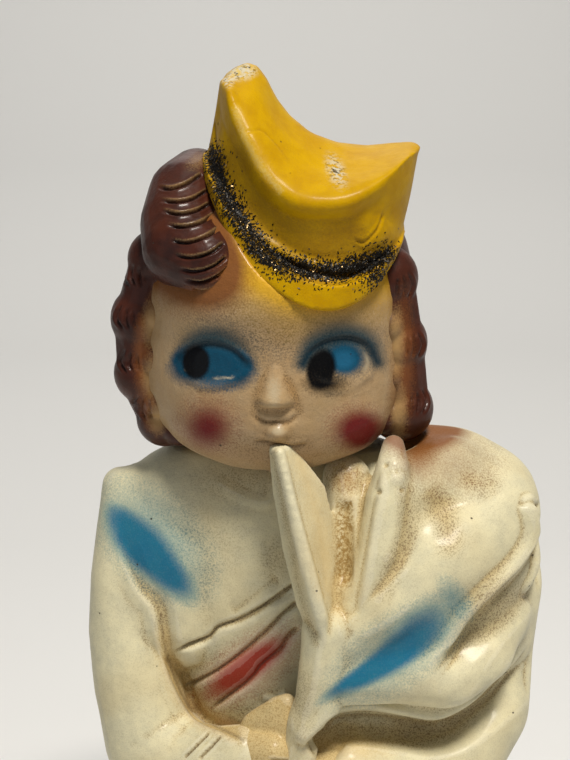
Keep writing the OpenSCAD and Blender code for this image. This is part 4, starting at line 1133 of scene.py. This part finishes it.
footSettings = {
    "pitch": 14.5, "web": [0, 0, 14, 12, 12], "webHigh": (16, 72),
    "legRows": [(16, 13), (33, 13), (52, 15), (72, 15)],
    "cuffRows": [(40, 15), (42, 16.6), (46, 17.2), (48, 16)], "toe": [(1.5, -20.5, 16), (14.5, 14.5, 16)],
    "heel": [(0, 1.5, 16), (13.5, 13.5, 15)], "welt": [(16, 18, 19.4, 20.6, 23), (0.5, 0.6, 0.2, -0.7, 0)],
    "strap": [(0, 2.2, 3, 4), (0.7, 0.7, -0.3, 0)], "tongue": [(0, 12.4, 13.4, 15), (0, 0, -0.7, 0)]}


# Round rows (height, radius) stacked around both legs' middles
def addLegRows(bm, rows, pitch):
    for x in (-pitch, pitch):
        addOvals(bm, [[z, x, 0, r, r, r] for z, r in rows])


def makeLegs(settings):
    bm = bmesh.new()
    addLegRows(bm, settings["legRows"], settings["pitch"])
    addLoft(bm, [ovalShape([z, *settings["web"]]) for z in settings["webHigh"]], 32)
    clay = Clay("legPair", bm, 0.8, 6)
    clay.wobble(0.3, 12, 7)
    return clay.finish(materials["skin"], "skin_plaster", "legs")


def makeCuffs(settings):
    bm = bmesh.new()
    addLegRows(bm, settings["cuffRows"], settings["pitch"])
    clay = Clay("sockCuffs", bm, 0.7, 2)
    around = np.arctan2(clay.co[:, 1], np.abs(clay.co[:, 0]) - settings["pitch"])
    clay.co += clay.normal * (0.35 * np.sin(around * 22))[:, None]
    return clay.finish(materials["red"], "red_plaster", "sock_cuffs")


# The hull of a toe ball and a heel ball, cut flat below and on the inner side; relief (places, heights)
def makeShoe(name, side, settings, node):
    bm = bmesh.new()
    x = side * settings["pitch"]
    for (aside, ahead, up), size in (settings["toe"], settings["heel"]):
        place = Matrix.Translation((x + side * aside, ahead, up)) @ Matrix.Diagonal((*size, 1))
        bmesh.ops.create_icosphere(bm, subdivisions=4, radius=1, matrix=place)
    bmesh.ops.delete(bm, geom=bm.edges[:], context="EDGES_FACES")
    hull = bmesh.ops.convex_hull(bm, input=bm.verts[:])
    inner = [item for item in hull["geom_interior"] if isinstance(item, bmesh.types.BMVert)]
    bmesh.ops.delete(bm, geom=inner, context="VERTS")
    bmesh.ops.scale(bm, vec=(mm, mm, mm), verts=bm.verts[:])
    for spot, way in (((0, 0, 16 * mm), (0, 0, -1)), ((0, 0, 0), (-side, 0, 0))):
        parts = bm.verts[:] + bm.edges[:] + bm.faces[:]
        bmesh.ops.bisect_plane(bm, geom=parts, plane_co=spot, plane_no=way, clear_outer=True)
    bmesh.ops.holes_fill(bm, edges=bm.edges[:])
    clay = Clay(name, bm, 0.6, 3)
    ahead, up = clay.co[:, 1], clay.co[:, 2]
    welt = np.interp(up, *settings["welt"])
    strap = np.interp(np.abs(ahead + 9), *settings["strap"]) * smoothStep(up, 20, 22)
    tongue = np.interp(np.hypot(clay.co[:, 0] - x, ahead + 1), *settings["tongue"]) * smoothStep(up, 22, 24)
    clay.co += clay.normal * (welt + strap + tongue)[:, None]
    clay.settle()
    return clay.finish(materials["blue"], "blue_plaster", node)


def makePlinth():
    bm = bmesh.new()
    outline = [(8, 10), (12, 10), (12, 0), (56.5, 0), (57, 0.6), (57, 11), (56.4, 13.4),
               (54.6, 15.2), (52, 16), (8, 16)]
    verts = [bm.verts.new(Vector((x, 0, z)) * mm) for x, z in outline]
    edges = [bm.edges.new(pair) for pair in zip(verts, verts[1:] + verts[:1])]
    around = {"axis": (0, 0, 1), "cent": (0, 0, 0), "angle": math.tau}
    bmesh.ops.spin(bm, geom=verts + edges, steps=128, use_merge=True, **around)
    bmesh.ops.remove_doubles(bm, verts=bm.verts[:], dist=1e-6)
    clay = Clay("plinth", bm, 0.95, 2)
    clay.co += clay.normal * (0.25 * np.sin(clay.co[:, 2] * 1.1))[:, None]
    clay.wobble(0.4, 16, 8)
    clay.coats["grime"] = 0.6 * smoothStep(-clay.co[:, 2], -6, -1) + 0.3
    clay.coats["brown"] = 0.8 * smoothStep(-clay.co[:, 2], -9, -2)
    return clay.finish(materials["cream"], "cream_plaster", "base")


makeLegs(footSettings)
makeCuffs(footSettings)
makeShoe("shoeRight", -1, footSettings, "shoe_right")
makeShoe("shoeLeft", 1, footSettings, "shoe_left")
makePlinth()
print("pieces done")

# Pale floor with a swept-up backdrop, and soft lamps

stageSettings = {"floor": rgb(0.80, 0.80, 0.79), "back": 1.3, "wide": 4.0}


def makeStage(settings):
    bm = bmesh.new()
    back, wide = settings["back"], settings["wide"]
    rows = [(-2.5, 0), (-0.8, 0), (0.5, 0), (0.9, 0.04), (1.15, 0.2), (back, 0.6), (back, 3.0)]
    verts = [bm.verts.new((-wide, y, z - 0.0002)) for y, z in rows]
    edges = [bm.edges.new(pair) for pair in zip(verts, verts[1:])]
    made = bmesh.ops.extrude_edge_only(bm, edges=edges)
    moved = [item for item in made["geom"] if isinstance(item, bmesh.types.BMVert)]
    bmesh.ops.translate(bm, verts=moved, vec=(2 * wide, 0, 0))
    bmesh.ops.recalc_face_normals(bm, faces=bm.faces[:])
    mesh = bpy.data.meshes.new("floor")
    bm.to_mesh(mesh)
    bm.free()
    mesh.polygons.foreach_set("use_smooth", np.ones(len(mesh.polygons), bool))
    floor = bpy.data.objects.new("floor", mesh)
    scene.collection.objects.link(floor)
    material = bpy.data.materials.new("paleFloor")
    material.use_nodes = True
    shader = material.node_tree.nodes["Principled BSDF"]
    shader.inputs["Base Color"].default_value = settings["floor"]
    shader.inputs["Roughness"].default_value = 0.8
    mesh.materials.append(material)


lampAim = (0, 0, 0.25)
lampSettings = [
    {"name": "key", "spot": (0.22, -0.5, 1.45), "size": 0.3, "power": 22, "color": (1.0, 0.95, 0.87)},
    {"name": "fill", "spot": (-0.95, -0.75, 0.6), "size": 0.9, "power": 1.0, "color": (0.86, 0.93, 1.0)},
    {"name": "rim", "spot": (-0.2, 0.9, 1.1), "size": 0.8, "power": 2.4, "color": (1.0, 0.98, 0.95)}]


def makeLamps(settings):
    for lamp in settings:
        data = bpy.data.lights.new(lamp["name"], "AREA")
        data.size, data.energy, data.color = lamp["size"], lamp["power"], lamp["color"]
        light = bpy.data.objects.new(lamp["name"], data)
        scene.collection.objects.link(light)
        light.location = lamp["spot"]
        light.rotation_euler = (Vector(lampAim) - Vector(lamp["spot"])).to_track_quat("-Z", "Y").to_euler()
    world = bpy.data.worlds.new("world")
    scene.world = world
    world.use_nodes = True
    world.node_tree.nodes["Background"].inputs["Color"].default_value = rgb(0.92, 0.95, 1.0)
    world.node_tree.nodes["Background"].inputs["Strength"].default_value = 0.15


makeStage(stageSettings)
makeLamps(lampSettings)

print("scene ready")
